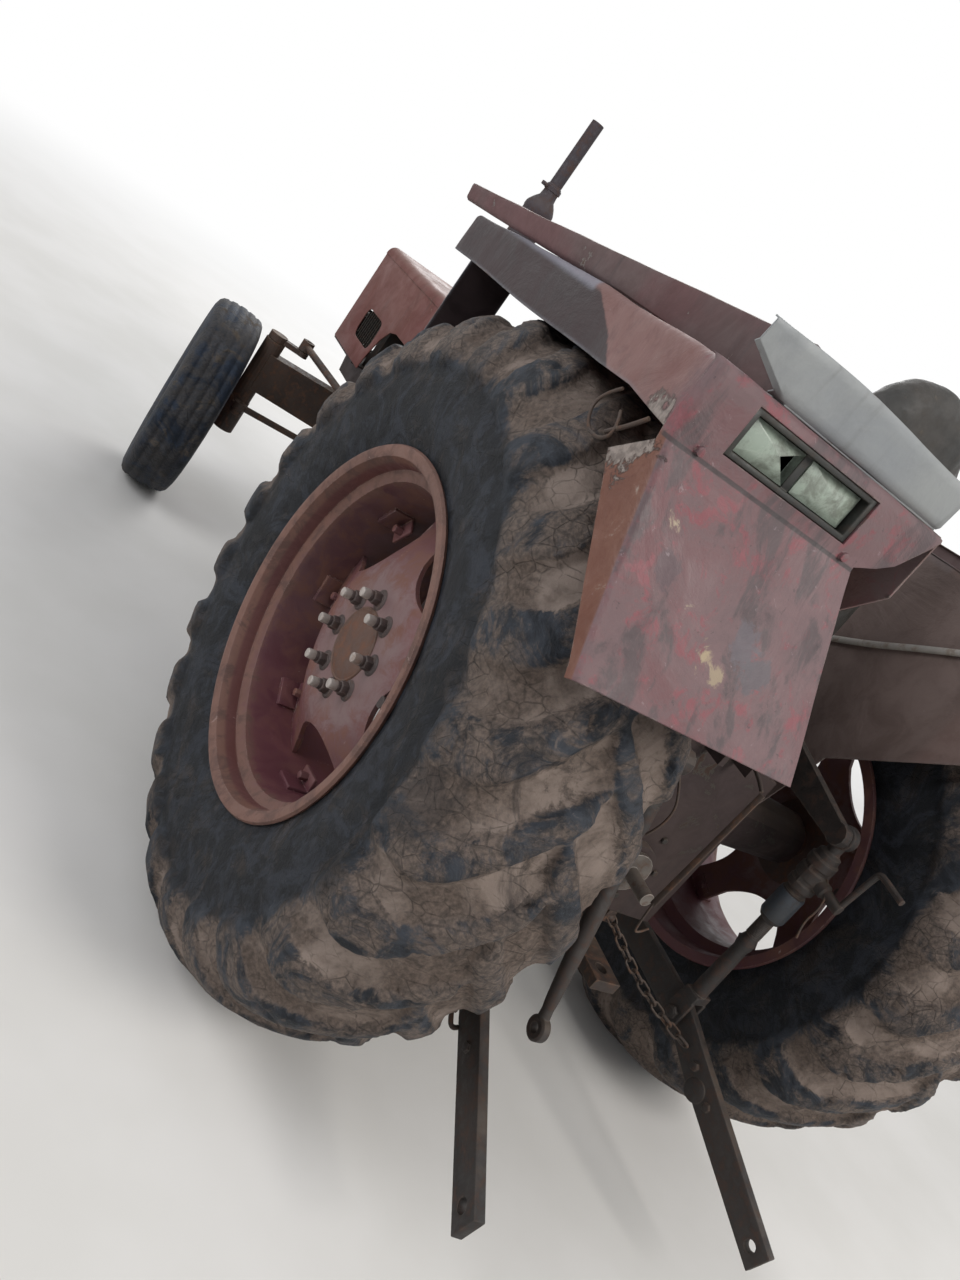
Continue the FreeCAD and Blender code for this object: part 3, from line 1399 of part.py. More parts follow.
column_foot = vector(0, float(rear_y + s.hood_back) + 119, float(hood_top))
ring_middle = vector(0, rear_y + s.wheel_ring_y, hood_top + s.wheel_ring_rise)
ring_sides = 24
grip_sides = 8


def steering():
    way = (ring_middle - column_foot).normalize()
    column = flat_rod(column_foot, ring_middle - way * 30.3, 26, 16)
    node("steering_column", made("steering_column_body", column.cut(dash_shape())))
    grip = []
    for index in range(grip_sides):
        turn = math.radians(360.0 * index / grip_sides)
        grip.append((s.wheel_ring_thick * math.cos(turn), s.wheel_ring_radius + s.wheel_ring_thick * math.sin(turn)))
    ring = faceted_ring(grip, ring_sides)
    ring.Placement = FreeCAD.Placement(ring_middle, FreeCAD.Rotation(vector(1, 0, 0), way))
    hub = flat_rod(ring_middle - way * 30, ring_middle + way * 12, 38, 16)
    spokes = []
    side = vector(1, 0, 0)
    for index in range(3):
        turn = FreeCAD.Rotation(way, 120.0 * index + 90)
        direction = turn.multVec(side)
        spokes.append(flat_rod(ring_middle, ring_middle + direction * float(s.wheel_ring_radius), 8, 8))
    node("steering_wheel", made("steering_wheel_body", hub.fuse(spokes + [ring])))


def dash_shape():
    doc.recompute()
    return doc.getObject("dash_console").Shape


steering()


def fuel_tank():
    front = rear_y + s.engine_back + 120
    back = rear_y + s.hood_back - 12
    low = s.deck + 130
    top = hood_low - 12
    tank = box("fuel_tank_body", (-230, front, low), (230, back, top))
    legs = []
    for tag, x in (("left", 150), ("right", -190)):
        legs.append(box(f"fuel_tank_leg_{tag}", (x, back - 120, s.deck), (x + 40, back - 60, low + 1)))
    return node("fuel_tank", fuse("fuel_tank_whole", tank, *legs))


fuel_tank()


# Fenders, their covers, lamps, stays and the steps

front_x = s.fender_outer_x - 150
crease_x = s.fender_outer_x - 100


def fender(side, sign):
    """Folded sheet: top, lamp panel and tail panel in one strip, an outer skirt, and an inner plate."""
    name = f"fender_{side}"
    wall = s.sheet_wall
    front = rear_y + s.fender_front_y
    crease = rear_y + 150
    back = rear_y + s.fender_back_y
    low_back = back + s.tail_out
    seam = s.fender_top - s.lamp_panel_height
    front_top = s.fender_top - s.fender_front_drop
    strip_points = [
        (front, front_top),
        (crease - 100, s.fender_top),
        (back, s.fender_top),
        (back, seam),
        (low_back, s.tail_low),
        (low_back - wall, s.tail_low),
        (back - wall, seam),
        (back - wall, s.fender_top - wall),
        (crease - 100, s.fender_top - wall),
        (front, front_top - wall),
    ]
    width = s.fender_outer_x - s.fender_inner_x
    strip = padded(name + "_strip", "YZ_Plane", strip_points, width)
    place(strip, (s.fender_inner_x, 0, 0))
    plan_points = [
        (s.fender_inner_x - 1, front - 1),
        (front_x - 110, front - 1),
        (front_x, front + 140),
        (crease_x, crease),
        (s.fender_outer_x, back),
        (s.fender_outer_x, low_back + 1),
        (s.fender_inner_x + 80, low_back + 1),
        (s.fender_inner_x + 120, back + 1),
        (s.fender_inner_x - 1, back),
    ]
    plan = padded(name + "_plan", "XY_Plane", plan_points, s.fender_top - s.tail_low + 180)
    place(plan, (0, 0, s.tail_low - 50))
    cover = doc.addObject("Part::MultiCommon", name + "_top")
    cover.Shapes = [strip, plan]
    skirt_points = [
        (front_x - 110, front - 1),
        (front_x, front + 140),
        (crease_x, crease),
        (s.fender_outer_x, back),
        (s.fender_outer_x - wall, back),
        (crease_x - wall, crease),
        (front_x - wall, front + 141),
        (front_x - 113, front - 1),
    ]
    skirt = padded(name + "_skirt", "XY_Plane", skirt_points, 200)
    place(skirt, (0, 0, s.skirt_low))
    above = padded(name + "_above", "YZ_Plane", [
        (front - 10, front_top - wall / 2),
        (crease - 100, s.fender_top - wall / 2),
        (back + 10, s.fender_top - wall / 2),
        (back + 10, s.fender_top + 300),
        (front - 10, s.fender_top + 300),
    ], 1000)
    trimmed = cut(name + "_skirt_cut", skirt, above)
    gusset_points = [
        (back - 100, seam - 59),
        (back - 2, seam + 6),
        (back - 1, seam),
        (low_back - 1, s.tail_low),
        (low_back - 14, s.tail_low),
    ]
    gusset = padded(name + "_gusset", "YZ_Plane", gusset_points, wall)
    place(gusset, (s.fender_outer_x - wall, 0, 0))
    inner_points = [
        (front, s.step_z + 300),
        (front, front_top - 2),
        (crease - 100, s.fender_top - 2),
        (back - 2, s.fender_top - 2),
        (back - 2, seam),
        (back - 170, s.fender_top - 300),
        (rear_y + 140, rear_z + s.trumpet_radius + 205),
        (rear_y + 90, rear_z + s.trumpet_radius - 4),
        (rear_y - 90, rear_z + s.trumpet_radius - 4),
        (rear_y - 160, s.step_z + 300),
    ]
    inner = padded(name + "_inner", "YZ_Plane", inner_points, wall)
    place(inner, (s.fender_inner_x, 0, 0))
    recess = box(name + "_lamp_hole", (lamp_low_x, back - 20, lamp_low_z), (lamp_high_x, back + 20, lamp_high_z))
    whole = fuse(name + "_whole", cover, trimmed, gusset, inner)
    left = cut(name + "_cut", whole, recess)
    if sign > 0:
        return node(name, left)
    return node(name, mirrored(name + "_mirror", left))


lamp_low_x = s.fender_outer_x - 380
lamp_high_x = s.fender_outer_x - 90
lamp_low_z = s.fender_top - 96
lamp_high_z = s.fender_top - 18

fender("left", 1)
fender("right", -1)


def tail_lamps():
    """A shallow housing with two square lenses, let into each lamp panel."""
    back = rear_y + s.fender_back_y
    gap = s.seat_gap
    housing = box("tail_lamp_housing", (lamp_low_x + gap, back - 44, lamp_low_z + gap),
                  (lamp_high_x - gap, back - 2, lamp_high_z - gap))
    pocket = box("tail_lamp_pocket", (lamp_low_x + 6, back - 34, lamp_low_z + 6),
                 (lamp_high_x - 6, back + 2, lamp_high_z - 6))
    case = cut("tail_lamp_case", housing, pocket)
    width = (lamp_high_x - lamp_low_x) / 2
    lenses = []
    for index in range(2):
        x = lamp_low_x + width * index
        lenses.append(box(f"tail_lamp_lens_{index}", (x + 14, back - 35, lamp_low_z + 8),
                          (x + width - 14, back - 6, lamp_high_z - 8)))
    left = fuse("tail_lamp_left", case, *lenses)
    right = mirrored("tail_lamp_right", left)
    return node("tail_lamps", fuse("tail_lamps_whole", left, right))


tail_lamps()


def fender_covers():
    """Open tray of brown and grey sheet on each fender's top: floor, outer side and back flange."""
    back = rear_y + s.fender_back_y - 20
    front = rear_y + s.fender_front_y + 40
    base = s.fender_top + 0.3
    wall = s.sheet_wall
    outer = front_x + 10
    floor = box("cover_tray_floor", (s.fender_inner_x + 4, rear_y + 60, base), (outer, back, base + wall))
    side_points = [
        (front, base - s.fender_front_drop + 12),
        (front, base + 16),
        (back - 90, base + 74),
        (back - 90, base),
        (rear_y + 50, base),
    ]
    flange = padded("cover_tray_side", "YZ_Plane", side_points, wall)
    place(flange, (outer - 4, 0, 0))
    rear = box("cover_tray_back", (s.fender_inner_x + 4, back - wall, base), (s.fender_outer_x - 45, back, base + 84))
    left = fuse("cover_tray_left", floor, flange, rear)
    right = mirrored("cover_tray_right", left)
    return node("fender_covers", fuse("fender_covers_whole", left, right))


fender_covers()


def steps_and_stays():
    """Footplates each side of the gearbox and the flat stays that hold up the fenders' front ends."""
    wall = s.sheet_wall
    front = rear_y + s.fender_front_y
    stay_top = s.fender_top - s.fender_front_drop - wall - 2
    low_x = front_x - 110 - s.stay_width
    plate = box("step_plate", (s.gearbox_half + 1, front - 260, s.step_z - wall),
                (s.fender_inner_x, rear_y + s.gearbox_back - 60, s.step_z))
    outer = box("step_outer", (s.fender_inner_x - 1, front - 260, s.step_z - wall), (front_x - 110, front, s.step_z))
    rim = box("step_rim", (s.gearbox_half + 1, front - 260, s.step_z - 45),
              (front_x - 110, front - 260 + wall, s.step_z))
    hanger = box("step_hanger", (s.gearbox_half, front - 60, s.step_z - 40), (s.fender_inner_x, front - 20, s.step_z - 3))
    left = fuse("step_left", plate, outer, rim, hanger)
    node("steps", fuse("steps_whole", left, mirrored("step_right", left)))
    stay = box("stay_plate", (low_x, front - wall - 1, s.step_z), (front_x - 110, front - 1, stay_top))
    tab = box("stay_tab", (low_x, front - wall - 1, stay_top - wall), (front_x - 120, front + 60, stay_top))
    stay_left = fuse("stay_left", stay, tab)
    node("fender_stays", fuse("stays_whole", stay_left, mirrored("stay_right", stay_left)))


steps_and_stays()


# Seat

def seat():
    """High-backed seat on a sprung stand above the lift cover."""
    half = s.seat_width / 2
    stand_top = seat_z - 110
    y = rear_y + s.seat_y
    post = box("seat_post", (-110, y - 120, s.deck + s.cover_height), (110, y + 120, s.deck + s.cover_height + 20))
    scissor = box("seat_scissor", (-70, y - 90, s.deck + s.cover_height + 19), (70, y + 90, stand_top - 10))
    tray = box("seat_tray", (-170, y - 190, stand_top - 14), (170, y + 190, stand_top))
    node("seat_base", fuse("seat_base_whole", post, scissor, tray))
    cushion = box("seat_cushion", (-half, y - 250, stand_top + 0.3), (half, y + 190, seat_z))
    back_points = [
        (-half, stand_top + 40),
        (-half, seat_top - 150),
        (-half + 60, seat_top - 40),
        (-half + 160, seat_top),
        (half - 160, seat_top),
        (half - 60, seat_top - 40),
        (half, seat_top - 150),
        (half, stand_top + 40),
    ]
    back = padded("seat_back", "XZ_Plane", back_points, 100, reverse=True)
    place(back, (0, y + 100, 0))
    node("seat", fuse("seat_whole", cushion, back))


seat()


# Check every object, then write each piece

doc.recompute()
failed = [thing.Name for thing in doc.Objects if "Invalid" in thing.State or "Error" in thing.State]
if failed:
    raise RuntimeError("these objects failed: " + ", ".join(failed))
for thing in nodes:
    if thing.Shape.isNull() or not thing.Shape.isValid():
        raise RuntimeError(f"{thing.Label} has no valid shape")

os.makedirs("parts", exist_ok=True)
for thing in nodes:
    thing.Shape.exportStep(f"parts/{thing.Label}.step")
    bounds = thing.Shape.BoundBox
    print(f"{thing.Label}: {len(thing.Shape.Solids)} solids, {thing.Shape.Volume / 1e6:.2f} litres, "
          f"x {bounds.XMin:.0f} to {bounds.XMax:.0f}, y {bounds.YMin:.0f} to {bounds.YMax:.0f}, "
          f"z {bounds.ZMin:.0f} to {bounds.ZMax:.0f}")
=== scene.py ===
import json
import math
import random

import bmesh
import bpy
from mathutils import Matrix, Vector, noise


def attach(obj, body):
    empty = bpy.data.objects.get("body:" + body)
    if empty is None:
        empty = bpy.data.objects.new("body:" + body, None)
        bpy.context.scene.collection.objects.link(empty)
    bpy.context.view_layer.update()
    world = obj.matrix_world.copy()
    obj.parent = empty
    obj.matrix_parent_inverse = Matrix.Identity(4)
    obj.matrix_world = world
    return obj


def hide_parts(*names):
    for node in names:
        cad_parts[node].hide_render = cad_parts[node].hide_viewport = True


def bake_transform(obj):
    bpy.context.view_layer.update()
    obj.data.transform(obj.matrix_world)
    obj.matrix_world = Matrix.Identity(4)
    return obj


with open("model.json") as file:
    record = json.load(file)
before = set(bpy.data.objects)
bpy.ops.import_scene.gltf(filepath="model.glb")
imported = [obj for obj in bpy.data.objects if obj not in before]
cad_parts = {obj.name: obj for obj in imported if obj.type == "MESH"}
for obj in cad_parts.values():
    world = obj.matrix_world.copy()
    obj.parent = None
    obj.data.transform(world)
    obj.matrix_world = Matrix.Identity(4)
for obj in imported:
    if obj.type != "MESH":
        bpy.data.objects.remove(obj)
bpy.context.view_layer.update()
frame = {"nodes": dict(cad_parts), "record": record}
print("frame loaded:", len(frame["nodes"]), "nodes")

# Main places in metres: nose towards -Y, the driver's left towards +X, the ground at Z = 0
tractor = {
    "rearWheel": (0.69, 0.919168, 0.76),
    "frontWheel": (0.72, -1.370832, 0.4),
    "kingpin": 0.562,
    "steerRest": math.radians(-12),
}
rearX, rearY, rearZ = tractor["rearWheel"]
frontX, frontY, frontZ = tractor["frontWheel"]
sides = ((1, "left"), (-1, "right"))


def colour(text):
    shares = [int(text[at:at + 2], 16) / 255 for at in (0, 2, 4)]
    return [share / 12.92 if share <= 0.04045 else ((share + 0.055) / 1.055) ** 2.4 for share in shares] + [1.0]


def feed(tree, socket, value):
    if isinstance(value, bpy.types.NodeSocket):
        tree.links.new(value, socket)
    else:
        socket.default_value = value


def makeNode(tree, kind, inputs=None, **settings):
    made = tree.nodes.new("ShaderNode" + kind)
    for key, value in settings.items():
        setattr(made, key, value)
    for key, value in (inputs or {}).items():
        feed(tree, made.inputs[key], value)
    return made


class Finish:  # one procedural material; every pattern reads Object coordinates
    def __init__(self, name, roughness=0.7, metallic=0.0):
        self.material = bpy.data.materials.new(name)
        self.material.use_nodes = True
        self.tree = self.material.node_tree
        self.shader = self.tree.nodes["Principled BSDF"]
        self.shader.inputs["Roughness"].default_value = roughness
        self.shader.inputs["Metallic"].default_value = metallic
        self.place = self.node("TexCoord").outputs["Object"]
        self.bumps = []

    def node(self, kind, inputs=None, **settings):
        return makeNode(self.tree, kind, inputs, **settings)

    def noise(self, scale, detail=5.0, rough=0.6, twist=0.0, stretch=(1, 1, 1), shift=(0, 0, 0)):
        mapping = self.node("Mapping", {"Vector": self.place, "Scale": stretch, "Location": shift})
        return self.node("TexNoise", {"Vector": mapping.outputs["Vector"], "Scale": scale, "Detail": detail,
                                      "Roughness": rough, "Distortion": twist}).outputs["Fac"]

    def cells(self, scale, stretch=(1, 1, 1)):
        mapping = self.node("Mapping", {"Vector": self.place, "Scale": stretch})
        return self.node("TexVoronoi", {"Vector": mapping.outputs["Vector"], "Scale": scale},
                         feature="DISTANCE_TO_EDGE").outputs["Distance"]

    def step(self, value, low, high, start=0.0, end=1.0):
        return self.node("MapRange", {"Value": value, "From Min": low, "From Max": high, "To Min": start,
                                      "To Max": end}, interpolation_type="SMOOTHSTEP").outputs["Result"]

    def math(self, operation, first, second=0.0):
        return self.node("Math", {0: first, 1: second}, operation=operation).outputs[0]

    def times(self, first, second):
        return self.math("MULTIPLY", first, second)

    def plus(self, first, second):
        return self.math("ADD", first, second)

    def less(self, first, second):
        return self.math("SUBTRACT", first, second)

    def ragged(self, value, pattern, reach, low=0.3, high=0.7):  # breaks up an edge with a pattern
        return self.plus(value, self.step(pattern, low, high, -reach, reach))

    def mix(self, mask, first, second):
        first, second = (colour(shade) if isinstance(shade, str) else shade for shade in (first, second))
        return self.node("Mix", {"Factor": mask, 6: first, 7: second}, data_type="RGBA").outputs[2]

    def over(self, shade, tint, pattern, low, high, share=1.0):  # a tint over a shade where a pattern is strong
        return self.mix(self.step(pattern, low, high, 0.0, share), shade, tint)

    def axis(self, index):
        return self.node("SeparateXYZ", {0: self.place}).outputs[index]

    def upward(self):
        return self.node("SeparateXYZ", {0: self.node("NewGeometry").outputs["Normal"]}).outputs[2]

    def rounded(self, radius):
        return self.node("Bevel", {"Radius": radius}, samples=4).outputs["Normal"]

    def edges(self, radius):  # 1 on outer and inner edges, where the rounded normal leaves the true one
        true = self.node("NewGeometry").outputs["Normal"]
        dot = self.node("VectorMath", {0: self.rounded(radius), 1: true}, operation="DOT_PRODUCT")
        return self.step(dot.outputs["Value"], 0.97, 0.75)

    def chips(self, shade, patch, fine, look, primer, rust):  # flaked paint, down to primer and then to rust
        radius, wear, rough, limit, depth = look
        loose = self.plus(patch, self.times(self.edges(radius), wear))
        loose = self.ragged(loose, fine, rough, 0.2, 0.8)
        chip = self.step(loose, limit, limit + 0.015)
        shade = self.over(self.mix(chip, shade, primer), rust, loose, limit + 0.035, limit + depth)
        return shade, chip

    def bump(self, height, distance, strength=1.0):
        self.bumps.append((height, distance, strength))

    def done(self, shade, roughness=None, soften=0.0):
        feed(self.tree, self.shader.inputs["Base Color"], shade)
        if roughness is not None:
            feed(self.tree, self.shader.inputs["Roughness"], roughness)
        normal = {"Normal": self.rounded(soften)} if soften else {}
        for height, distance, strength in self.bumps:
            node = self.node("Bump", {"Height": height, "Distance": distance, "Strength": strength, **normal})
            normal = {"Normal": node.outputs["Normal"]}
        for key, value in normal.items():
            feed(self.tree, self.shader.inputs[key], value)
        return self.material


def wornPaint(name, look):  # old paint with grimy stains, chips, and dust on what faces up
    finish = Finish(name, look["roughness"])
    wide = finish.noise(2.6, 6, 0.62, 0.6)
    patch = finish.noise(11.0, 8, 0.68, 0.5)
    fine = finish.noise(85.0, 5, 0.6)
    streak = finish.noise(16.0, 6, 0.6, 0.2, (1, 1, 0.12))
    shade = finish.over(look["paint"], look["faded"], wide, 0.38, 0.63)
    shade = finish.over(shade, look["dull"], patch, 0.35, 0.75, 0.55)
    stain = finish.times(finish.step(streak, 0.52, 0.68), finish.step(wide, 0.36, 0.58))
    shade = finish.mix(finish.times(stain, look["stains"]), shade, look["stain"])
    shade, chip = finish.chips(shade, patch, fine, (0.006, 0.17, 0.035, look["chips"], 0.06),
                               look["primer"], look["rust"])
    dusty = finish.times(finish.step(finish.upward(), 0.35, 0.95), finish.step(patch, 0.3, 0.7, 0.2, 0.8))
    shade = finish.mix(finish.times(dusty, look["dust"]), shade, "8f7f70")
    finish.bump(finish.less(1.0, chip), 0.0006, 0.6)
    finish.bump(fine, 0.0012, 0.25)
    finish.bump(wide, 0.03, 0.15)
    rough = finish.step(patch, 0.3, 0.75, look["roughness"] - 0.12, look["roughness"] + 0.2)
    return finish.done(shade, rough, 0.0025)


def oldIron(name, look):  # brown scale, darker pits, pale worn spots, soil on what faces up
    finish = Finish(name, look["roughness"], look["metallic"])
    wide = finish.noise(5.0, 6, 0.6, 0.4)
    scale = finish.noise(38.0, 8, 0.7, 0.3)
    grit = finish.noise(170.0, 4, 0.6)
    shade = finish.over(look["dark"], look["iron"], wide, 0.35, 0.65)
    shade = finish.over(shade, look["rust"], scale, 0.48, 0.66, 0.8)
    worn = finish.times(finish.edges(0.005), finish.step(scale, 0.3, 0.6, 0.3, 1.0))
    shade = finish.mix(finish.times(worn, look["bright"]), shade, look["worn"])
    soil = finish.times(finish.step(finish.upward(), 0.2, 0.9), finish.step(wide, 0.4, 0.7))
    shade = finish.mix(finish.times(soil, look["dust"]), shade, "7d6c5c")
    finish.bump(scale, 0.0022, 0.55)
    finish.bump(grit, 0.0006, 0.45)
    rough = finish.step(scale, 0.3, 0.7, look["roughness"] - 0.2, look["roughness"] + 0.12)
    return finish.done(shade, rough, 0.003)


def rubberFinish(name, look):  # weathered rubber; the piece's soil attribute says where dried mud lies
    finish = Finish(name, 0.8)
    wide = finish.noise(4.5, 6, 0.65, 0.8)
    patch = finish.noise(13.0, 9, 0.72, 0.9)
    smear = finish.noise(7.0, 9, 0.75, 1.4, (1, 1, 1), (5, 2, 8))
    fine = finish.noise(110.0, 6, 0.65)
    soil = finish.node("Attribute", attribute_name="soil").outputs["Fac"]
    shade = finish.over(look["rubber"], look["bloom"], patch, 0.4, 0.6)
    shade = finish.over(shade, look["scuff"], smear, 0.52, 0.64, 0.7)
    # a film of dried mud lies thicker on the tread than on the walls
    film = finish.step(finish.plus(smear, finish.times(soil, 0.5)), 0.54, 0.68, 0.0, look["film"])
    shade = finish.mix(film, shade, finish.over(look["mudDark"], look["mud"], fine, 0.35, 0.65))
    mud = finish.step(finish.ragged(soil, patch, 0.3), 0.4, 0.62)
    mudShade = finish.over(look["mud"], look["mudDark"], fine, 0.3, 0.7)
    shade = finish.mix(mud, shade, finish.over(mudShade, look["mudPale"], wide, 0.42, 0.62))
    dark = finish.noise(3.6, 8, 0.7, 1.1, (1, 1, 1), (2, 9, 4))
    shade = finish.over(shade, look["rubber"], dark, 0.56, 0.64, 0.5)
    # walls are darker and cleaner than the tread, in uneven smears
    wall = finish.step(finish.ragged(soil, smear, -0.06, 0.35, 0.65), 0.2, 0.1)
    streak = finish.noise(9.0, 9, 0.78, 1.8, (1, 1, 1), (8, 1, 3))
    wallShade = finish.over(look["wall"], look["wallBloom"], streak, 0.46, 0.58)
    shade = finish.mix(finish.times(wall, look["wallShare"]), shade, wallShade)
    cracks = finish.step(finish.cells(26.0, (0.45, 1.4, 1.4)), 0.0, 0.05)
    worn = finish.times(finish.less(1.0, cracks), finish.step(smear, 0.42, 0.56))
    shade = finish.mix(finish.times(worn, 0.45), shade, "1d1d1e")
    finish.bump(finish.less(1.0, worn), 0.0022, 0.6)
    finish.bump(patch, 0.01, 0.6)
    finish.bump(smear, 0.012, 0.45)
    finish.bump(fine, 0.0022, 0.55)
    finish.shader.inputs["Specular IOR Level"].default_value = 0.22
    return finish.done(shade, finish.step(mud, 0, 1, 0.62, 0.95))


# Patches on the left fender: x, y behind the axle, z, radius and tint
fenderPatches = (
    (0.75, 0.723, 1.285, 0.014, "a8977a"), (0.712, 0.735, 1.268, 0.01, "9a8a72"),
    (0.808, 0.718, 1.325, 0.008, "a3977f"), (0.673, 0.708, 1.32, 0.03, "5d565c"),
    (0.64, 0.725, 1.3, 0.03, "575156"), (0.87, 0.69, 1.36, 0.022, "57474b"),
    (0.886, 0.658, 1.41, 0.009, "b3a48c"),
)


def fenderFinish():  # mottled grey-pink tail, painted shade on the forward skirt, a painted highlight along its top, orange-brown gusset, mud and patches
    finish = Finish("fenderPaint", 0.6)
    side = finish.axis(0)
    back = finish.less(finish.axis(1), rearY)
    rise = finish.axis(2)
    wide = finish.noise(3.4, 7, 0.66, 0.8)
    patch = finish.noise(9.0, 9, 0.72, 0.8)
    blot = finish.noise(22.0, 8, 0.7, 0.5)
    fine = finish.noise(90.0, 5, 0.6)
    run = finish.noise(17.0, 7, 0.65, 0.5, (1, 1, 0.16), (1, 4, 2))
    speck = finish.noise(60.0, 6, 0.75, 0.6, (1, 1, 1), (4, 4, 1))
    shade = finish.over("644043", "6b5254", wide, 0.38, 0.6)
    for tint, pattern, low, high, share in (
            ("6a5759", patch, 0.44, 0.6, 0.8), ("80434a", blot, 0.53, 0.64, 0.75), ("463e40", run, 0.5, 0.62, 0.75),
            ("3f3537", speck, 0.62, 0.66, 0.6), ("8f7d80", speck, 0.36, 0.32, 0.5)):
        shade = finish.over(shade, tint, pattern, low, high, share)
    # the top and the skirt ahead of the crease are redder and darker than the tail
    skirt = finish.over("6b4742", "7a5a55", wide, 0.36, 0.62)
    skirt = finish.over(skirt, "5d4541", blot, 0.5, 0.66, 0.6)
    shade = finish.over(shade, skirt, finish.ragged(back, patch, 0.02), 0.6, 0.52, 0.85)
    # at the front, painted shade on the skirt behind a slanting line, and a painted highlight along the top edge
    slant = finish.plus(back, finish.times(finish.less(rise, 1.608), 2.3))
    front = finish.times(finish.step(finish.ragged(slant, patch, 0.012), 0.043, 0.027),
                         finish.step(back, 0.34, 0.3))
    front = finish.times(front, finish.step(rise, 1.6, 1.588, 0, 0.97))
    shade = finish.mix(front, shade, finish.over("241b1e", "33282a", patch, 0.38, 0.6))
    lit = finish.times(finish.step(back, 0.045, 0.025), finish.step(rise, 1.58, 1.596, 0, 0.8))
    shade = finish.mix(lit, shade, "7c7d88")
    # blue-grey along the sheet's bends ahead of the tail: partly edge wear, partly a painted highlight
    bend = finish.times(finish.edges(0.012), finish.step(patch, 0.36, 0.6, 0.2, 0.9))
    shade = finish.mix(finish.times(bend, finish.step(back, 0.58, 0.45)), shade, "7c8088")
    gusset = finish.times(finish.step(finish.math("ABSOLUTE", side), 0.9462, 0.9482),
                          finish.step(rise, 1.5, 1.485))
    rusty = finish.over("60392b", "6b4638", blot, 0.4, 0.62)
    shade = finish.mix(gusset, shade, finish.over(rusty, "8a7a70", blot, 0.6, 0.68))

    def spot(middle, radius, reach):
        gaps = []
        for value, at in zip((side, back, rise), middle):
            gap = finish.less(value, at)
            gaps.append(finish.times(gap, gap))
        far = finish.math("SQRT", finish.plus(finish.plus(gaps[0], gaps[1]), gaps[2]))
        return finish.step(finish.ragged(far, blot, reach, 0.25, 0.75), radius + 0.006, radius - 0.006)

    for x, y, z, radius, tint in fenderPatches:
        shade = finish.mix(finish.times(spot((x, y, z), radius, 0.019), 0.85), shade, tint)
    mud = spot((0.95, 0.545, 1.47), 0.06, 0.034)
    shade = finish.mix(mud, shade, finish.over("8d827b", "6a605a", fine, 0.35, 0.65))
    # dark seam where the skirt folds into the lamp panel, partly rust and partly a painted shadow in the fold
    seam = finish.step(finish.math("ABSOLUTE", finish.less(rise, 1.4905)), 0.0045, 0.002)
    shade = finish.mix(finish.times(seam, finish.step(back, 0.6, 0.61, 0, 0.85)), shade, "2a2425")
    # the far fender and the insides are a dull brown, painted lighter as painted light for the haze and brighter
    # light on them
    shade = finish.over(shade, finish.over("6b5a54", "7b6a64", patch, 0.36, 0.62), side, 0.42, 0.38, 0.8)
    shade, chip = finish.chips(shade, patch, fine, (0.006, 0.16, 0.04, 0.69, 0.055), "857a73", "4d352b")
    scratch = finish.noise(30.0, 8, 0.78, 2.0, (0.3, 1, 1), (2, 2, 6))
    shade = finish.over(shade, "95868a", scratch, 0.66, 0.69, 0.5)
    finish.bump(finish.less(1.0, chip), 0.0006, 0.6)
    finish.bump(mud, 0.006, 0.8)
    finish.bump(fine, 0.0012, 0.3)
    finish.bump(wide, 0.03, 0.35)
    return finish.done(shade, finish.step(patch, 0.3, 0.75, 0.5, 0.8), 0.0025)


def wheelFinish():  # orange-brown flange, dark red barrel deepened with painted shade, and paler worn disc, told apart by place
    finish = Finish("wheelPaint", 0.55)
    wide = finish.noise(4.0, 6, 0.65, 0.6)
    patch = finish.noise(17.0, 9, 0.7, 0.5)
    fine = finish.noise(95.0, 5, 0.6)
    along = finish.math("ABSOLUTE", finish.axis(0))
    rise = finish.less(finish.axis(2), rearZ)
    back = finish.less(finish.axis(1), rearY)
    far = finish.math("SQRT", finish.plus(finish.times(rise, rise), finish.times(back, back)))
    # the barrel's inside: its own dark red, made darker than the disc as painted shade of the hollow, and lighter
    # and more magenta towards the bottom
    barrel = finish.over("4b2d2d", "523539", wide, 0.36, 0.6)
    barrel = finish.over(barrel, "644236", patch, 0.42, 0.64, 0.8)
    barrel = finish.over(barrel, "5f2f39", rise, -0.05, -0.3, 0.55)
    flange = finish.over("5f4137", "6f4e43", wide, 0.35, 0.62)
    flange = finish.over(flange, "503b36", patch, 0.45, 0.62, 0.8)
    groove = finish.math("ABSOLUTE", finish.less(along, 0.856))
    flange = finish.over(flange, "52282b", groove, 0.016, 0.008, 0.7)
    disc = finish.over("6b4344", "624041", wide, 0.38, 0.62)
    disc = finish.over(disc, "6d493c", patch, 0.44, 0.62, 0.8)
    disc = finish.over(disc, "7d6d6c", finish.ragged(far, patch, 0.05), 0.21, 0.12, 0.5)
    rim = finish.over(barrel, flange, finish.ragged(along, patch, 0.012), 0.812, 0.84)
    shade = finish.over(disc, rim, finish.ragged(far, wide, 0.004), 0.312, 0.326)
    shade, chip = finish.chips(shade, patch, fine, (0.005, 0.2, 0.03, 0.68, 0.055), "9a8580", "5a3a2e")
    scratch = finish.noise(26.0, 8, 0.75, 1.6, (1, 1, 0.22), (3, 1, 2))
    shade = finish.over(shade, "a58f8a", scratch, 0.66, 0.69, 0.55)
    finish.bump(finish.less(1.0, chip), 0.0005, 0.6)
    finish.bump(patch, 0.003, 0.35)
    return finish.done(shade, finish.step(patch, 0.3, 0.75, 0.42, 0.8), 0.002)


def plasticFinish():
    finish = Finish("blackPlastic", 0.5)
    wide = finish.noise(9.0, 5, 0.6)
    shade = finish.over("1d1c1c", "34302d", wide, 0.4, 0.7)
    finish.bump(finish.noise(240.0, 4, 0.6), 0.0004, 0.4)
    return finish.done(shade, finish.step(wide, 0.3, 0.7, 0.4, 0.65), 0.0015)


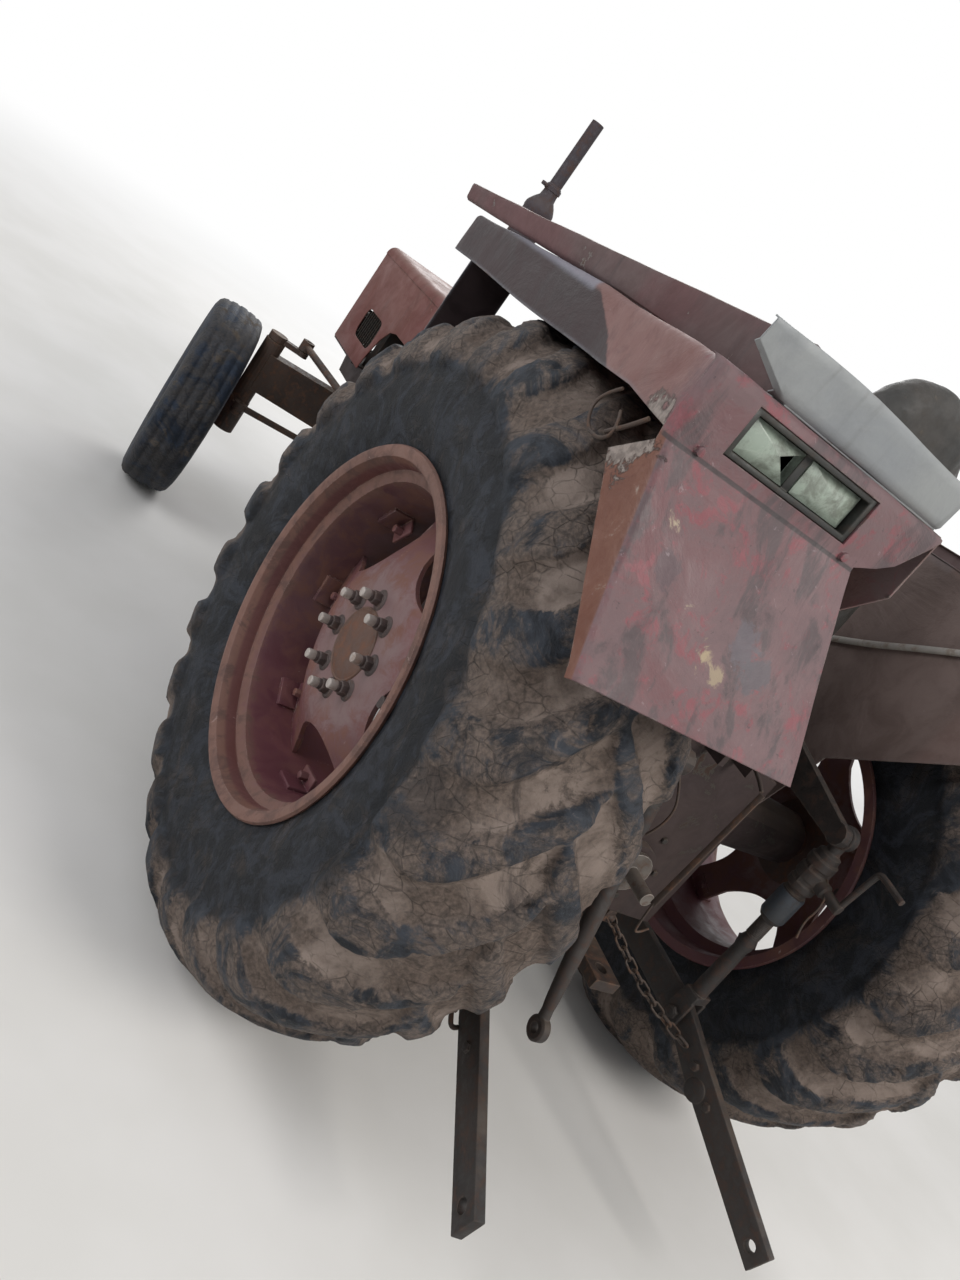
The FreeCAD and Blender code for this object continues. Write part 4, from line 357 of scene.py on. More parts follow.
def vinylFinish():
    finish = Finish("seatVinyl", 0.5)
    wide = finish.noise(6.0, 6, 0.65, 0.5)
    scuff = finish.noise(40.0, 8, 0.7)
    shade = finish.over("22211f", "35312d", wide, 0.38, 0.66)
    shade = finish.over(shade, "544b42", scuff, 0.58, 0.7, 0.6)
    finish.bump(finish.step(finish.cells(420.0), 0.0, 0.12), 0.0005, 0.5)
    finish.bump(wide, 0.01, 0.2)
    return finish.done(shade, finish.step(scuff, 0.3, 0.7, 0.42, 0.7))


def lensFinish():
    finish = Finish("lampLens", 0.25)
    dirt = finish.noise(24.0, 8, 0.7, 0.4)
    shade = finish.over("9aa79a", "6f756b", dirt, 0.42, 0.66)
    finish.bump(finish.noise(30.0, 3, 0.5, 0, (1, 1, 0.05)), 0.003, 0.5)
    finish.shader.inputs["Coat Weight"].default_value = 0.4
    return finish.done(shade, finish.step(dirt, 0.35, 0.65, 0.2, 0.6))


paintColumns = ("paint", "faded", "dull", "stain", "primer", "rust", "chips", "dust", "roughness", "stains")
paintLooks = {
    "hoodPaint": ("64302b", "6b3d36", "57332d", "3d2d29", "735a4f", "513026", 0.67, 0.3, 0.6, 0.5),
    "castingPaint": ("2f2223", "382b28", "2b2321", "1d1a19", "3b3631", "35251d", 0.6, 0.5, 0.78, 0.8),
    "dashPaint": ("5b4143", "66504d", "503d3d", "352d2e", "6c5f59", "54392e", 0.66, 0.5, 0.65, 0.6),
    "coverSheet": ("59393a", "574645", "4c3b3a", "353031", "6d6763", "4b342b", 0.63, 0.3, 0.68, 0.5),
    "greySheet": ("82868a", "8f9292", "777a7c", "545250", "8c8e8f", "5f4d43", 0.69, 0.3, 0.5, 0.45),
}
ironColumns = ("dark", "iron", "rust", "worn", "dust", "roughness", "bright", "metallic")
ironLooks = {
    "rustyIron": ("2a201b", "3f3028", "5b3f2f", "73604f", 0.5, 0.75, 0.6, 0.0),
    "exhaustIron": ("26232b", "393034", "4b3831", "655a5b", 0.2, 0.75, 0.6, 0.0),
    "darkIron": ("1e1c1a", "2f2a26", "433026", "5a5249", 0.5, 0.75, 0.6, 0.0),
    "bareSteel": ("57514c", "736c66", "5d473b", "b9b2ab", 0.25, 0.5, 0.9, 0.35),
    "studSteel": ("9a918b", "b3aaa4", "8a7568", "cdc6c0", 0.0, 0.5, 0.9, 0.1),
    "nutIron": ("352c2b", "4a3d3b", "4f3b33", "7d726e", 0.1, 0.75, 0.6, 0.0),
    "palePipe": ("84807b", "9a958f", "7a6c61", "b5b1ab", 0.2, 0.6, 0.6, 0.0),
    "hubRust": ("453631", "5a4136", "6b4735", "7d6a5f", 0.2, 0.75, 0.6, 0.0),
    "linkageIron": ("1b1716", "2b2421", "402e26", "655a51", 0.25, 0.75, 0.6, 0.0),
    "sleevePaint": ("26292d", "343a42", "3a332f", "59616a", 0.2, 0.6, 0.6, 0.0),
    "lampCase": ("1a1b1a", "24241f", "332b24", "4d4c44", 0.3, 0.6, 0.6, 0.0),
}
tyreColumns = ("rubber", "bloom", "scuff", "mud", "mudDark", "mudPale", "wall", "wallBloom", "film", "wallShare")
tyreLooks = {
    "rearRubber": ("1a1d22", "363a41", "4a4e54", "6c5f57", "4a423d", "857870", "0c0d10", "272a31", 0.95, 0.8),
    "frontRubber": ("161c26", "26303f", "384250", "4f4842", "393734", "5c544c", "0c0d10", "202329", 0.5, 0.6),
}
materials = {"wheelPaint": wheelFinish(), "fenderPaint": fenderFinish(), "blackPlastic": plasticFinish(),
             "seatVinyl": vinylFinish(), "lampLens": lensFinish()}
for makeFinish, columns, looks in ((wornPaint, paintColumns, paintLooks), (oldIron, ironColumns, ironLooks),
                                   (rubberFinish, tyreColumns, tyreLooks)):
    for key, row in looks.items():
        materials[key] = makeFinish(key, dict(zip(columns, row)))

slotMaterials = {
    "tyre_rubber": "rearRubber", "wheel_paint": "wheelPaint", "rusty_iron": "rustyIron",
    "casting_paint": "castingPaint", "exhaust_iron": "exhaustIron", "dark_iron": "darkIron",
    "bare_steel": "bareSteel", "linkage_iron": "linkageIron", "hood_paint": "hoodPaint",
    "dash_paint": "dashPaint", "black_plastic": "blackPlastic", "fender_paint": "fenderPaint",
    "lamp_lens": "lampLens", "cover_sheet": "coverSheet", "seat_cover": "seatVinyl",
}
materialSlots = {material: slot for slot, material in slotMaterials.items()}
materialSlots.update({"frontRubber": "tyre_rubber", "hubRust": "rusty_iron", "nutIron": "bare_steel",
                      "studSteel": "bare_steel", "palePipe": "bare_steel", "sleevePaint": "linkage_iron",
                      "lampCase": "dark_iron", "greySheet": "cover_sheet"})
for part in frame["record"]["subparts"]:
    for place in frame["nodes"][part["node"]].material_slots:
        place.material = materials[slotMaterials[part["material_slot"]]]
print("finishes ready:", len(materials))


def spread(low, high, count):
    return [low + (high - low) * index / (count - 1) for index in range(count)]


def around(count, start=0.0):
    return [start + index * math.tau / count for index in range(count)]


def between(table, at):
    for (first, low), (second, high) in zip(table, table[1:]):
        if at <= second:
            return low + (high - low) * (at - first) / (second - first)
    return table[-1][1]


def symmetric(half):
    return [(-along, radius) for along, radius in reversed(half)] + half[1:]


def meshFrom(name, bm):
    mesh = bpy.data.meshes.new(name)
    bm.to_mesh(mesh)
    bm.free()
    return mesh


def placeObject(name, data):
    holder = bpy.data.objects.new(name, data)
    bpy.context.scene.collection.objects.link(holder)
    return holder


def join(bm, part, place=None):
    if place:
        bmesh.ops.transform(part, matrix=place, verts=part.verts)
    mesh = meshFrom("part", part)
    bm.from_mesh(mesh)
    bpy.data.meshes.remove(mesh)


def softenEdges(part, edges, width, segments=2):
    bmesh.ops.bevel(part, geom=edges, offset=width, affect="EDGES", segments=segments, profile=0.5, material=-1)


def relax(bm, rounds):
    for _ in range(rounds):
        bmesh.ops.smooth_vert(bm, verts=bm.verts, factor=0.5, use_axis_x=True, use_axis_y=True, use_axis_z=True)


def remeshed(mesh, voxel):
    rough = placeObject("rough", mesh)
    skin = rough.modifiers.new("skin", "REMESH")
    skin.mode = "VOXEL"
    skin.voxel_size = voxel
    bpy.context.view_layer.update()
    grid = bpy.data.meshes.new_from_object(rough.evaluated_get(bpy.context.evaluated_depsgraph_get()))
    bpy.data.objects.remove(rough)
    return grid


def addBox(bm, low, high, bevel=0.0, place=None, segments=2):
    part = bmesh.new()
    bmesh.ops.create_cube(part, size=1.0)
    bmesh.ops.scale(part, verts=part.verts, vec=Vector(high) - Vector(low))
    bmesh.ops.translate(part, verts=part.verts, vec=(Vector(high) + Vector(low)) / 2)
    if bevel:
        softenEdges(part, part.edges[:], bevel, segments)
    join(bm, part, place)


def addRod(bm, start, end, radius, endRadius=None, sideCount=24, bevel=0.0, place=None):
    start = Vector(start)
    way = Vector(end) - start
    turn = way.to_track_quat("Z", "Y").to_matrix().to_4x4()
    part = bmesh.new()
    bmesh.ops.create_cone(part, cap_ends=True, segments=sideCount, radius1=radius,
                          radius2=radius if endRadius is None else endRadius, depth=way.length,
                          matrix=Matrix.Translation(start + way / 2) @ turn)
    if bevel:
        ends = [face for face in part.faces if len(face.verts) > 4]
        softenEdges(part, list({edge for face in ends for edge in face.edges}), bevel)
    join(bm, part, place)


def drawLoop(part, points):
    verts = [part.verts.new(point) for point in points]
    return verts, [part.edges.new(pair) for pair in zip(verts, verts[1:] + verts[:1])]


def spinLoop(part, section, steps):  # turns (along the axle, radius) points about local X
    verts, edges = drawLoop(part, [(along, 0, radius) for along, radius in section])
    bmesh.ops.spin(part, geom=verts + edges, cent=(0, 0, 0), axis=(1, 0, 0), angle=math.tau, steps=steps,
                   use_merge=True)


def addTurned(bm, section, place=None, steps=96):
    part = bmesh.new()
    spinLoop(part, section, steps)
    bmesh.ops.remove_doubles(part, verts=part.verts, dist=0.00002)
    join(bm, part, place)


def thicken(part, faces, thickness):
    grown = bmesh.ops.extrude_face_region(part, geom=faces)["geom"]
    top = [item for item in grown if isinstance(item, bmesh.types.BMVert)]
    bmesh.ops.translate(part, verts=top, vec=(0, 0, thickness))


def addPlate(bm, outline, thickness, place=None, bevel=0.0):  # outline in local X and Y, thickness along Z
    part = bmesh.new()
    thicken(part, [part.faces.new([part.verts.new((x, y, -thickness / 2)) for x, y in outline])], thickness)
    if bevel:
        softenEdges(part, part.edges[:], bevel)
    join(bm, part, place)


def addHoled(bm, outline, holes, thickness, place=None, bevel=0.0, openings=()):  # the same with holes through it
    part = bmesh.new()
    loops = [outline] + [[(x + radius * math.cos(turn), y + radius * math.sin(turn)) for turn in around(24)]
                         for x, y, radius in holes] + list(openings)
    edges = []
    for loop in loops:
        edges += drawLoop(part, [(x, y, -thickness / 2) for x, y in loop])[1]
    filled = bmesh.ops.triangle_fill(part, use_beauty=True, use_dissolve=False, edges=edges)["geom"]
    thicken(part, [item for item in filled if isinstance(item, bmesh.types.BMFace)], thickness)
    bmesh.ops.recalc_face_normals(part, faces=part.faces)
    if bevel:
        sharp = [edge for edge in part.edges if len(edge.link_faces) == 2 and edge.calc_face_angle() > 1.2]
        softenEdges(part, sharp, bevel)
    join(bm, part, place)


def addWire(bm, points, radius, sideCount=8, closed=False):  # a bent bar along a smooth curve
    curve = bpy.data.curves.new("wire", "CURVE")
    curve.dimensions = "3D"
    curve.bevel_depth = radius
    curve.bevel_resolution = max(1, sideCount // 4)
    curve.use_fill_caps = True
    line = curve.splines.new("NURBS")
    line.points.add(len(points) - 1)
    for point, at in zip(line.points, points):
        point.co = (*at, 1.0)
    line.order_u = 3
    line.use_endpoint_u = not closed
    line.use_cyclic_u = closed
    line.resolution_u = 6
    holder = bpy.data.objects.new("wire", curve)
    mesh = bpy.data.meshes.new_from_object(holder)
    bm.from_mesh(mesh)
    bpy.data.meshes.remove(mesh)
    bpy.data.objects.remove(holder)
    bpy.data.curves.remove(curve)


def gridPiece(rows, skip=None, wall=0.004, dent=0.0, seed=0.0, flip=False):  # a dented sheet through rows of points
    part = bmesh.new()
    verts = [[part.verts.new(point) for point in row] for row in rows]
    for one, two in zip(verts, verts[1:]):
        for index in range(len(one) - 1):
            corners = [one[index], one[index + 1], two[index + 1], two[index]]
            if not (skip and skip(sum((vert.co for vert in corners), Vector()) / 4)):
                part.faces.new(corners[::-1] if flip else corners)
    bmesh.ops.delete(part, geom=[vert for vert in part.verts if not vert.link_faces], context="VERTS")
    part.normal_update()
    if dent:
        for vert in part.verts:
            shift = noise.noise(vert.co * 5.5 + Vector((seed, 0, 0)))
            shift += 0.5 * noise.noise(vert.co * 13 + Vector((0, seed, 3)))
            vert.co += vert.normal * shift * dent
    bmesh.ops.solidify(part, geom=part.faces[:], thickness=wall)
    return part


def finishPiece(name, bm, material, body="chassis", replaced=None, sharp=32, clean=True):
    if clean:
        bmesh.ops.remove_doubles(bm, verts=bm.verts, dist=0.00005)
        bmesh.ops.recalc_face_normals(bm, faces=bm.faces)
    mesh = meshFrom(name, bm)
    mesh.shade_smooth()
    mesh.set_sharp_from_angle(angle=math.radians(sharp))
    piece = placeObject(name, mesh)
    mesh.materials.append(materials[material])
    if body:
        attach(piece, body)
    if replaced:
        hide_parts(replaced)
    return piece


def axlePlace(side, x=0.0, z=0.0):  # from a frame about the rear axle, X outwards, to the row frame
    return Matrix.Translation((side * x, rearY, z)) @ Matrix.Diagonal((side, 1, 1, 1))


onSide = Matrix(((0, 0, 1, 0), (1, 0, 0, 0), (0, 1, 0, 0), (0, 0, 0, 1)))  # a plate's X and Y to the row's Y and Z


rearTyre = {  # sections run from the crown to the bead, as (across, radius)
    "section": [(0.0, 0.726), (0.055, 0.723), (0.101, 0.712), (0.143, 0.692), (0.172, 0.665), (0.195, 0.628),
                (0.209, 0.588), (0.215, 0.54), (0.21, 0.48), (0.199, 0.432), (0.188, 0.41), (0.186, 0.386)],
    "lugs": 24,
    "lugRake": math.radians(15.5),
    "lugHeight": 0.035,
    "lugFoot": 0.1,
    "lugTop": 0.066,
    "lowEnd": 6.1,
    "voxel": 0.0092,
    "seed": 11,
    "turn": math.radians(4.0),
}


# point and outward direction at a place along the section, counted in points from the crown
def sectionAt(section, along):
    index = min(int(along), len(section) - 2)
    first, second = Vector(section[index]), Vector(section[index + 1])
    point = first.lerp(second, along - index)
    way = (second - first).normalized()
    return point, Vector((-way.y, way.x))


def addLug(bm, side, start, draw):
    look = rearTyre
    width = draw.uniform(0.93, 1.07)
    high = look["lugHeight"] * draw.uniform(0.84, 1.0)
    part = bmesh.new()
    bmesh.ops.create_cube(part, size=1.0)
    long = [edge for edge in part.edges if abs(edge.verts[0].co.x - edge.verts[1].co.x) > 0.5]
    bmesh.ops.subdivide_edges(part, edges=long, cuts=13, use_grid_fill=True)
    for vert in part.verts:
        along = vert.co.x + 0.5
        lift = vert.co.z + 0.5
        place = -0.18 + along * (look["lowEnd"] + 0.18)
        mirror = -1 if place < 0 else 1
        point, out = sectionAt(look["section"], abs(place))
        rake = look["lugRake"] * (1 - (1 - min(along / 0.62, 1)) ** 1.25)
        fade = 1 - 0.55 * max(0, (along - 0.66) / 0.34) ** 1.3
        broad = (look["lugFoot"] + (look["lugTop"] - look["lugFoot"]) * lift) * width
        broad *= 0.86 + 0.34 * math.sin(min(along / 0.7, 1) * math.pi / 2)
        spot = point + out * (-0.012 + (high * fade + 0.012) * lift)
        angle = start - rake + vert.co.y * broad / point.y
        vert.co = Vector((side * mirror * spot.x, math.cos(angle) * spot.y, math.sin(angle) * spot.y))
    join(bm, part)


def heightOver(section, across, radius):  # how far a point lies outside the carcass's section
    best = 9.0
    point = Vector((abs(across), radius))
    for first, second in zip(section, section[1:]):
        a, b = Vector(first), Vector(second)
        way = b - a
        share = max(0.0, min(1.0, (point - a).dot(way) / way.length_squared))
        gap = (point - a - way * share).length
        if gap < abs(best):
            outside = (point.y - a.y) * way.x - (point.x - a.x) * way.y
            best = gap if outside >= 0 else -gap
    return best


def rearTyreMesh():
    look = rearTyre
    draw = random.Random(look["seed"])
    bm = bmesh.new()
    addTurned(bm, symmetric(look["section"]), None, 120)
    pitch = math.tau / look["lugs"]
    for index in range(look["lugs"]):
        addLug(bm, 1, index * pitch + look["turn"] + draw.uniform(-0.006, 0.006), draw)
        addLug(bm, -1, (index + 0.5) * pitch + look["turn"] + draw.uniform(-0.006, 0.006), draw)
    bmesh.ops.recalc_face_normals(bm, faces=bm.faces)
    skin = remeshed(meshFrom("rearTyreRough", bm), look["voxel"])
    bm = bmesh.new()
    bm.from_mesh(skin)
    relax(bm, 2)
    soil = bm.verts.layers.float.new("soil")
    bm.normal_update()
    for vert in bm.verts:
        radius = math.hypot(vert.co.y, vert.co.z)
        height = heightOver(look["section"], vert.co.x, radius)
        low = max(0.0, 1 - height / 0.024)
        tread = max(0.0, min(1.0, (radius - 0.56) / 0.09))
        drift = noise.noise(vert.co * 5.0) * 0.5 + 0.5
        rugged = noise.fractal(vert.co * 24.0, 0.8, 2.1, 4)
        tear = noise.noise(vert.co * 33.0 + Vector((7, 3, 1)))
        pack = low * tread * max(0.0, min(1.0, drift * 2.2 - 0.35))
        push = pack * (0.011 + 0.004 * rugged) + rugged * 0.0014
        if height > 0.018 and tear > 0.36:
            push -= (tear - 0.36) * 0.03
        vert.co += vert.normal * push
        vert[soil] = min(1.0, 0.24 + pack * 1.15) * tread + 0.06 * (1 - tread)
    bm.to_mesh(skin)
    bm.free()
    return skin


def rearTyres():
    skin = rearTyreMesh()
    for (side, word), turn in zip(sides, (0.0, 0.11)):
        bm = bmesh.new()
        bm.from_mesh(skin)
        bmesh.ops.rotate(bm, verts=bm.verts, cent=(0, 0, 0), matrix=Matrix.Rotation(turn, 3, "X"))
        bmesh.ops.transform(bm, matrix=axlePlace(side, rearX, rearZ), verts=bm.verts)
        if side < 0:
            bmesh.ops.reverse_faces(bm, faces=bm.faces)
        finishPiece("rearTyre_" + word, bm, "rearRubber", "rear_wheel_" + word, "rear_tyre_" + word, sharp=180,
                    clean=False)
    bpy.data.meshes.remove(skin)


rearTyres()
print("rear tyres made")


rearRim = {  # the barrel is (along the axle, radius), the dish (radius, along)
    "barrel": [(-0.201, 0.376), (-0.201, 0.402), (-0.195, 0.405), (-0.188, 0.402), (-0.187, 0.386),
               (-0.145, 0.381), (-0.125, 0.352), (-0.05, 0.346), (0.05, 0.346), (0.13, 0.354), (0.142, 0.378),
               (0.187, 0.386), (0.188, 0.402), (0.195, 0.405), (0.201, 0.401), (0.202, 0.391), (0.196, 0.378),
               (0.175, 0.37), (0.153, 0.368), (0.143, 0.346), (0.125, 0.341), (0.05, 0.337), (-0.05, 0.337),
               (-0.12, 0.341), (-0.14, 0.367), (-0.185, 0.371)],
    "scallops": 5,
    "scallopRadius": 0.155,
    "scallopMiddle": 0.345,
    "scallopTurn": {1: math.radians(142), -1: math.radians(70)},
    "studs": 8,
    "studCircle": 0.106,
    "brackets": 8,
    "dish": [(0.079, 0.1), (0.12, 0.1), (0.15, 0.099), (0.185, 0.094), (0.215, 0.082), (0.25, 0.064),
             (0.29, 0.042), (0.315, 0.034), (0.336, 0.03)],
    "wall": 0.011,
}


def discEdge(angle, turn):  # the disc's outer radius at an angle: the full circle, cut in by the scallops
    look = rearRim
    pitch = math.tau / look["scallops"]
    off = (angle - turn + pitch / 2) % pitch - pitch / 2
    across = look["scallopMiddle"] * math.sin(off)
    full = look["dish"][-1][0]
    if abs(across) >= look["scallopRadius"]:
        return full
    return min(full, look["scallopMiddle"] * math.cos(off) - math.sqrt(look["scallopRadius"] ** 2 - across ** 2))


# the dished plate between hub and rim, spun as rings and then drawn in to the scallops
def rearDisc(bm, place, side):
    look = rearRim
    dish, wall = look["dish"], look["wall"]
    inner, outer = dish[2][0], dish[-1][0]
    part = bmesh.new()
    spinLoop(part, [(along, radius) for radius, along in dish]
             + [(along - wall, radius) for radius, along in reversed(dish)], 200)
    turn = look["scallopTurn"][side]
    for vert in part.verts:
        radius = math.hypot(vert.co.y, vert.co.z)
        if radius <= inner:
            continue
        angle = math.atan2(vert.co.z, vert.co.y)
        wanted = inner + (radius - inner) * (discEdge(angle, turn) - inner) / (outer - inner)
        back = wall if vert.co.x < between(dish, radius) - wall / 2 else 0.0
        vert.co = Vector((between(dish, wanted) - back, math.cos(angle) * wanted, math.sin(angle) * wanted))
    join(bm, part, place)


def rearWheel(side, word):
    look = rearRim
    place = axlePlace(side, rearX, rearZ)
    bm = bmesh.new()
    addTurned(bm, look["barrel"], place, 128)
    rearDisc(bm, place, side)
    turn = look["scallopTurn"][side]
    for index in range(look["brackets"]):
        angle = turn + math.radians(2) + index * math.tau / look["brackets"]
        spin = place @ Matrix.Rotation(angle, 4, "X")
        # folded bracket on the barrel with a bolt through the disc's edge
        addBox(bm, (0.02, 0.296, -0.034), (0.029, 0.338, 0.034), 0.004, spin)
        addBox(bm, (0.024, 0.328, -0.034), (0.075, 0.338, 0.034), 0.003, spin)
        addRod(bm, (0.012, 0.311, 0.0), (0.05, 0.311, 0.0), 0.01, None, 6, 0.002, spin)
    finishPiece("rearRim_" + word, bm, "wheelPaint", "rear_wheel_" + word, "rear_rim_" + word, sharp=40)
    bm = bmesh.new()
    addTurned(bm, [(0.064, 0.0002), (0.064, 0.128), (0.089, 0.128), (0.089, 0.083), (0.101, 0.083), (0.1035, 0.08),
                   (0.1015, 0.077), (0.1035, 0.073), (0.1045, 0.04), (0.103, 0.0002)], place, 64)
    addTurned(bm, [(-0.06, 0.0002), (-0.06, 0.042), (0.065, 0.042), (0.065, 0.0002)], place, 32)
    finishPiece("rearHub_" + word, bm, "hubRust", "rear_wheel_" + word)
    bm = bmesh.new()
    ends = bmesh.new()
    for index in range(look["studs"]):
        angle = math.radians(11) + index * math.tau / look["studs"]
        spin = place @ Matrix.Rotation(angle, 4, "X")
        far = look["studCircle"]
        addTurned(bm, [(0.098, 0.0002), (0.098, 0.024), (0.101, 0.023), (0.104, 0.019), (0.104, 0.0002)],
                  spin @ Matrix.Translation((0, far, 0)), 24)
        addRod(bm, (0.103, far, 0), (0.121, far, 0), 0.016, 0.0152, 6, 0.002, spin)
        addRod(bm, (0.121, far, 0), (0.129, far, 0), 0.0118, 0.0112, 16, 0.001, spin)
        addRod(ends, (0.128, far, 0), (0.147, far, 0), 0.0112, 0.0106, 16, 0.0025, spin)
    addRod(bm, (0.08, 0.197, 0.001), (0.0925, 0.197, 0.001), 0.0125, None, 20, 0.0, place)
    finishPiece("wheelNuts_" + word, bm, "nutIron", "rear_wheel_" + word)
    finishPiece("studEnds_" + word, ends, "studSteel", "rear_wheel_" + word)


for side, word in sides:
    rearWheel(side, word)
print("rear wheels made")


frontTyre = {  # turned about the axle like the rear ones
    "section": [(0.0, 0.398), (0.012, 0.3975), (0.016, 0.394), (0.024, 0.394), (0.028, 0.3965), (0.048, 0.394),
                (0.052, 0.39), (0.06, 0.389), (0.064, 0.3915), (0.08, 0.386), (0.091, 0.374), (0.098, 0.35),
                (0.1, 0.312), (0.096, 0.27), (0.086, 0.24), (0.074, 0.226), (0.067, 0.207)],
    "rim": [(-0.076, 0.196), (-0.076, 0.222), (-0.07, 0.225), (-0.065, 0.221), (-0.064, 0.206), (-0.045, 0.203),
            (-0.034, 0.175), (0.034, 0.175), (0.045, 0.203), (0.064, 0.206), (0.065, 0.221), (0.07, 0.225),
            (0.076, 0.221), (0.076, 0.212), (0.066, 0.197), (0.051, 0.194), (0.04, 0.167), (-0.04, 0.167),
            (-0.052, 0.196)],
}


def frontPlace(side):
    turn = Matrix.Rotation(tractor["steerRest"], 4, "Z")
    middle = Matrix.Translation((side * (frontX - tractor["kingpin"]), 0, 0))
    kingpin = Matrix.Translation((side * tractor["kingpin"], frontY, frontZ))
    return kingpin @ turn @ middle @ Matrix.Diagonal((side, 1, 1, 1))


def frontWheel(side, word):
    look = frontTyre
    place = frontPlace(side)
    bm = bmesh.new()
    addTurned(bm, symmetric(look["section"]), None, 144)
    soil = bm.verts.layers.float.new("soil")
    bm.normal_update()
    for vert in bm.verts:
        radius = math.hypot(vert.co.y, vert.co.z)
        worn = noise.fractal(vert.co * 16.0 + Vector((side * 3, 0, 0)), 0.8, 2.1, 3)
        vert.co += vert.co.normalized() * (worn * 0.0012)
        vert[soil] = max(0.0, min(0.6, 0.3 + worn * 0.25)) * (1 if radius > 0.36 else 0.6)
    bmesh.ops.transform(bm, matrix=place, verts=bm.verts)
    finishPiece("frontTyre_" + word, bm, "frontRubber", "front_wheel_" + word, "front_tyre_" + word, sharp=60)
    bm = bmesh.new()
    addTurned(bm, look["rim"], place, 96)
    disc = [(0.02, 0.062), (0.022, 0.105), (0.008, 0.13), (-0.014, 0.15), (-0.018, 0.167), (-0.026, 0.167),
            (-0.022, 0.148), (0.0, 0.126), (0.012, 0.103), (0.012, 0.062)]
    addTurned(bm, disc, place, 96)
    hub = [(-0.06, 0.0002), (-0.06, 0.062), (0.03, 0.062), (0.036, 0.058), (0.058, 0.04), (0.064, 0.034),
           (0.066, 0.0002)]
    addTurned(bm, hub, place, 48)
    for angle in around(6, 0.2):
        spin = place @ Matrix.Rotation(angle, 4, "X")
        addRod(bm, (0.02, 0.084, 0), (0.036, 0.084, 0), 0.0125, 0.0118, 6, 0.0015, spin)
        addRod(bm, (0.036, 0.084, 0), (0.046, 0.084, 0), 0.0065, None, 12, 0.0, spin)
    finishPiece("frontRim_" + word, bm, "wheelPaint", "front_wheel_" + word, "front_rim_" + word)


for side, word in sides:
    frontWheel(side, word)
print("front wheels made")


fender = {  # left side, y behind the rear axle; outline and skirt give x and z along y
    "inner": 0.4,
    "outer": 0.95,
    "front": -0.85,
    "outline": [(-0.85, 0.69), (-0.8, 0.732), (-0.71, 0.8), (-0.3, 0.824), (0.13, 0.849),
                (0.165, 0.853), (0.4, 0.903), (0.62, 0.95)],
    "skirt": [(-0.85, 1.482), (-0.477, 1.486), (-0.118, 1.493), (0.231, 1.499), (0.4, 1.508), (0.62, 1.498)],
    "topFront": 1.575,
    "top": 1.61,
    "seam": 1.49,
    "tailLow": 1.19,
    "tailOut": 0.16,
    "back": 0.62,
    "bend": 0.014,
    "wall": 0.0045,
    "hole": (0.57, 0.86, 1.514, 1.592),
    "gussetTop": 0.116,
    "gussetLow": 0.012,
    "dent": 0.0026,
}


def fenderTopRows():
    look = fender
    bend = look["bend"]
    rows = []
    for along in spread(look["front"], 0.606, 64):
        top = min(look["top"], look["topFront"] + (along - look["front"]) / 0.9 * (look["top"] - look["topFront"]))
        outer = between(look["outline"], along)
        low = between(look["skirt"], along) + 0.002 * math.sin(along * 9)
        row = [(x, along, top) for x in spread(look["inner"], outer - bend, 16)]
        row += [(outer - bend + bend * math.sin(turn), along, top - bend + bend * math.cos(turn))
                for turn in spread(0.3, math.pi / 2, 5)]
        row += [(outer, along, z) for z in spread(top - bend, low, 9)[1:]]
        rows.append(row)
    return rows


def fenderBackRows():  # lamp panel and tail panel, from the top's fold down, wrapped forward at the outer edge
    look = fender
    bend = look["bend"]
    back, seam, low, out = (look[key] for key in ("back", "seam", "tailLow", "tailOut"))
    edge = look["outer"] - bend
    hole = look["hole"]
    path = [(back - bend, look["top"], 0.0), (back - bend * 0.5, look["top"] - bend * 0.13, 0.0),
            (back - bend * 0.13, look["top"] - bend * 0.5, 0.0), (back, hole[3], 0.0)]
    path += [(back, z, 0.0) for z in spread(hole[3], hole[2], 5)[1:]]
    path += [(back, seam + 0.006, 0.0), (back + 0.0015, seam - 0.001, 0.002), (back + 0.006, seam - 0.01, 0.03)]
    path += [(back + out * share, seam - (seam - low) * share, share) for share in spread(0.08, 1.0, 16)]
    rows = []
    for y, z, share in path:
        inner = between([(1.49, 0.52), (1.53, 0.455), (1.61, 0.4)], z)
        if z < seam + 0.01:
            inner = 0.52 - 0.04 * share
        columns = spread(inner, hole[0], 6) + spread(hole[0], hole[1], 13)[1:] + spread(hole[1], edge, 5)[1:]
        row = [(x, y, z) for x in columns]
        slope = math.atan2(out, seam - low) if share > 0 else 0.0
        depth = look["gussetTop"] + (look["gussetLow"] - look["gussetTop"]) * share if share > 0.01 else 0.022
        forward = Vector((0, -math.cos(slope), -math.sin(slope)))
        corner = Vector((edge, y, z))
        for turn in spread(0.35, math.pi / 2, 4):
            row.append(tuple(corner + Vector((bend * math.sin(turn), 0, 0)) + forward * bend * (1 - math.cos(turn))))
        for reach in spread(0, 1, 5)[1:]:
            row.append(tuple(corner + Vector((bend, 0, 0)) + forward * (bend + max(0.002, depth - bend) * reach)))
        rows.append(row)
    return rows


def mirrorTo(side, part):
    if side < 0:
        bmesh.ops.scale(part, verts=part.verts, vec=(-1, 1, 1))
        bmesh.ops.reverse_faces(part, faces=part.faces)


def addSheet(bm, part, side):  # joins a sheet made about the rear axle on the left to a piece, on its own side
    bmesh.ops.recalc_face_normals(part, faces=part.faces)
    mirrorTo(side, part)
    join(bm, part, Matrix.Translation((0, rearY, 0)))


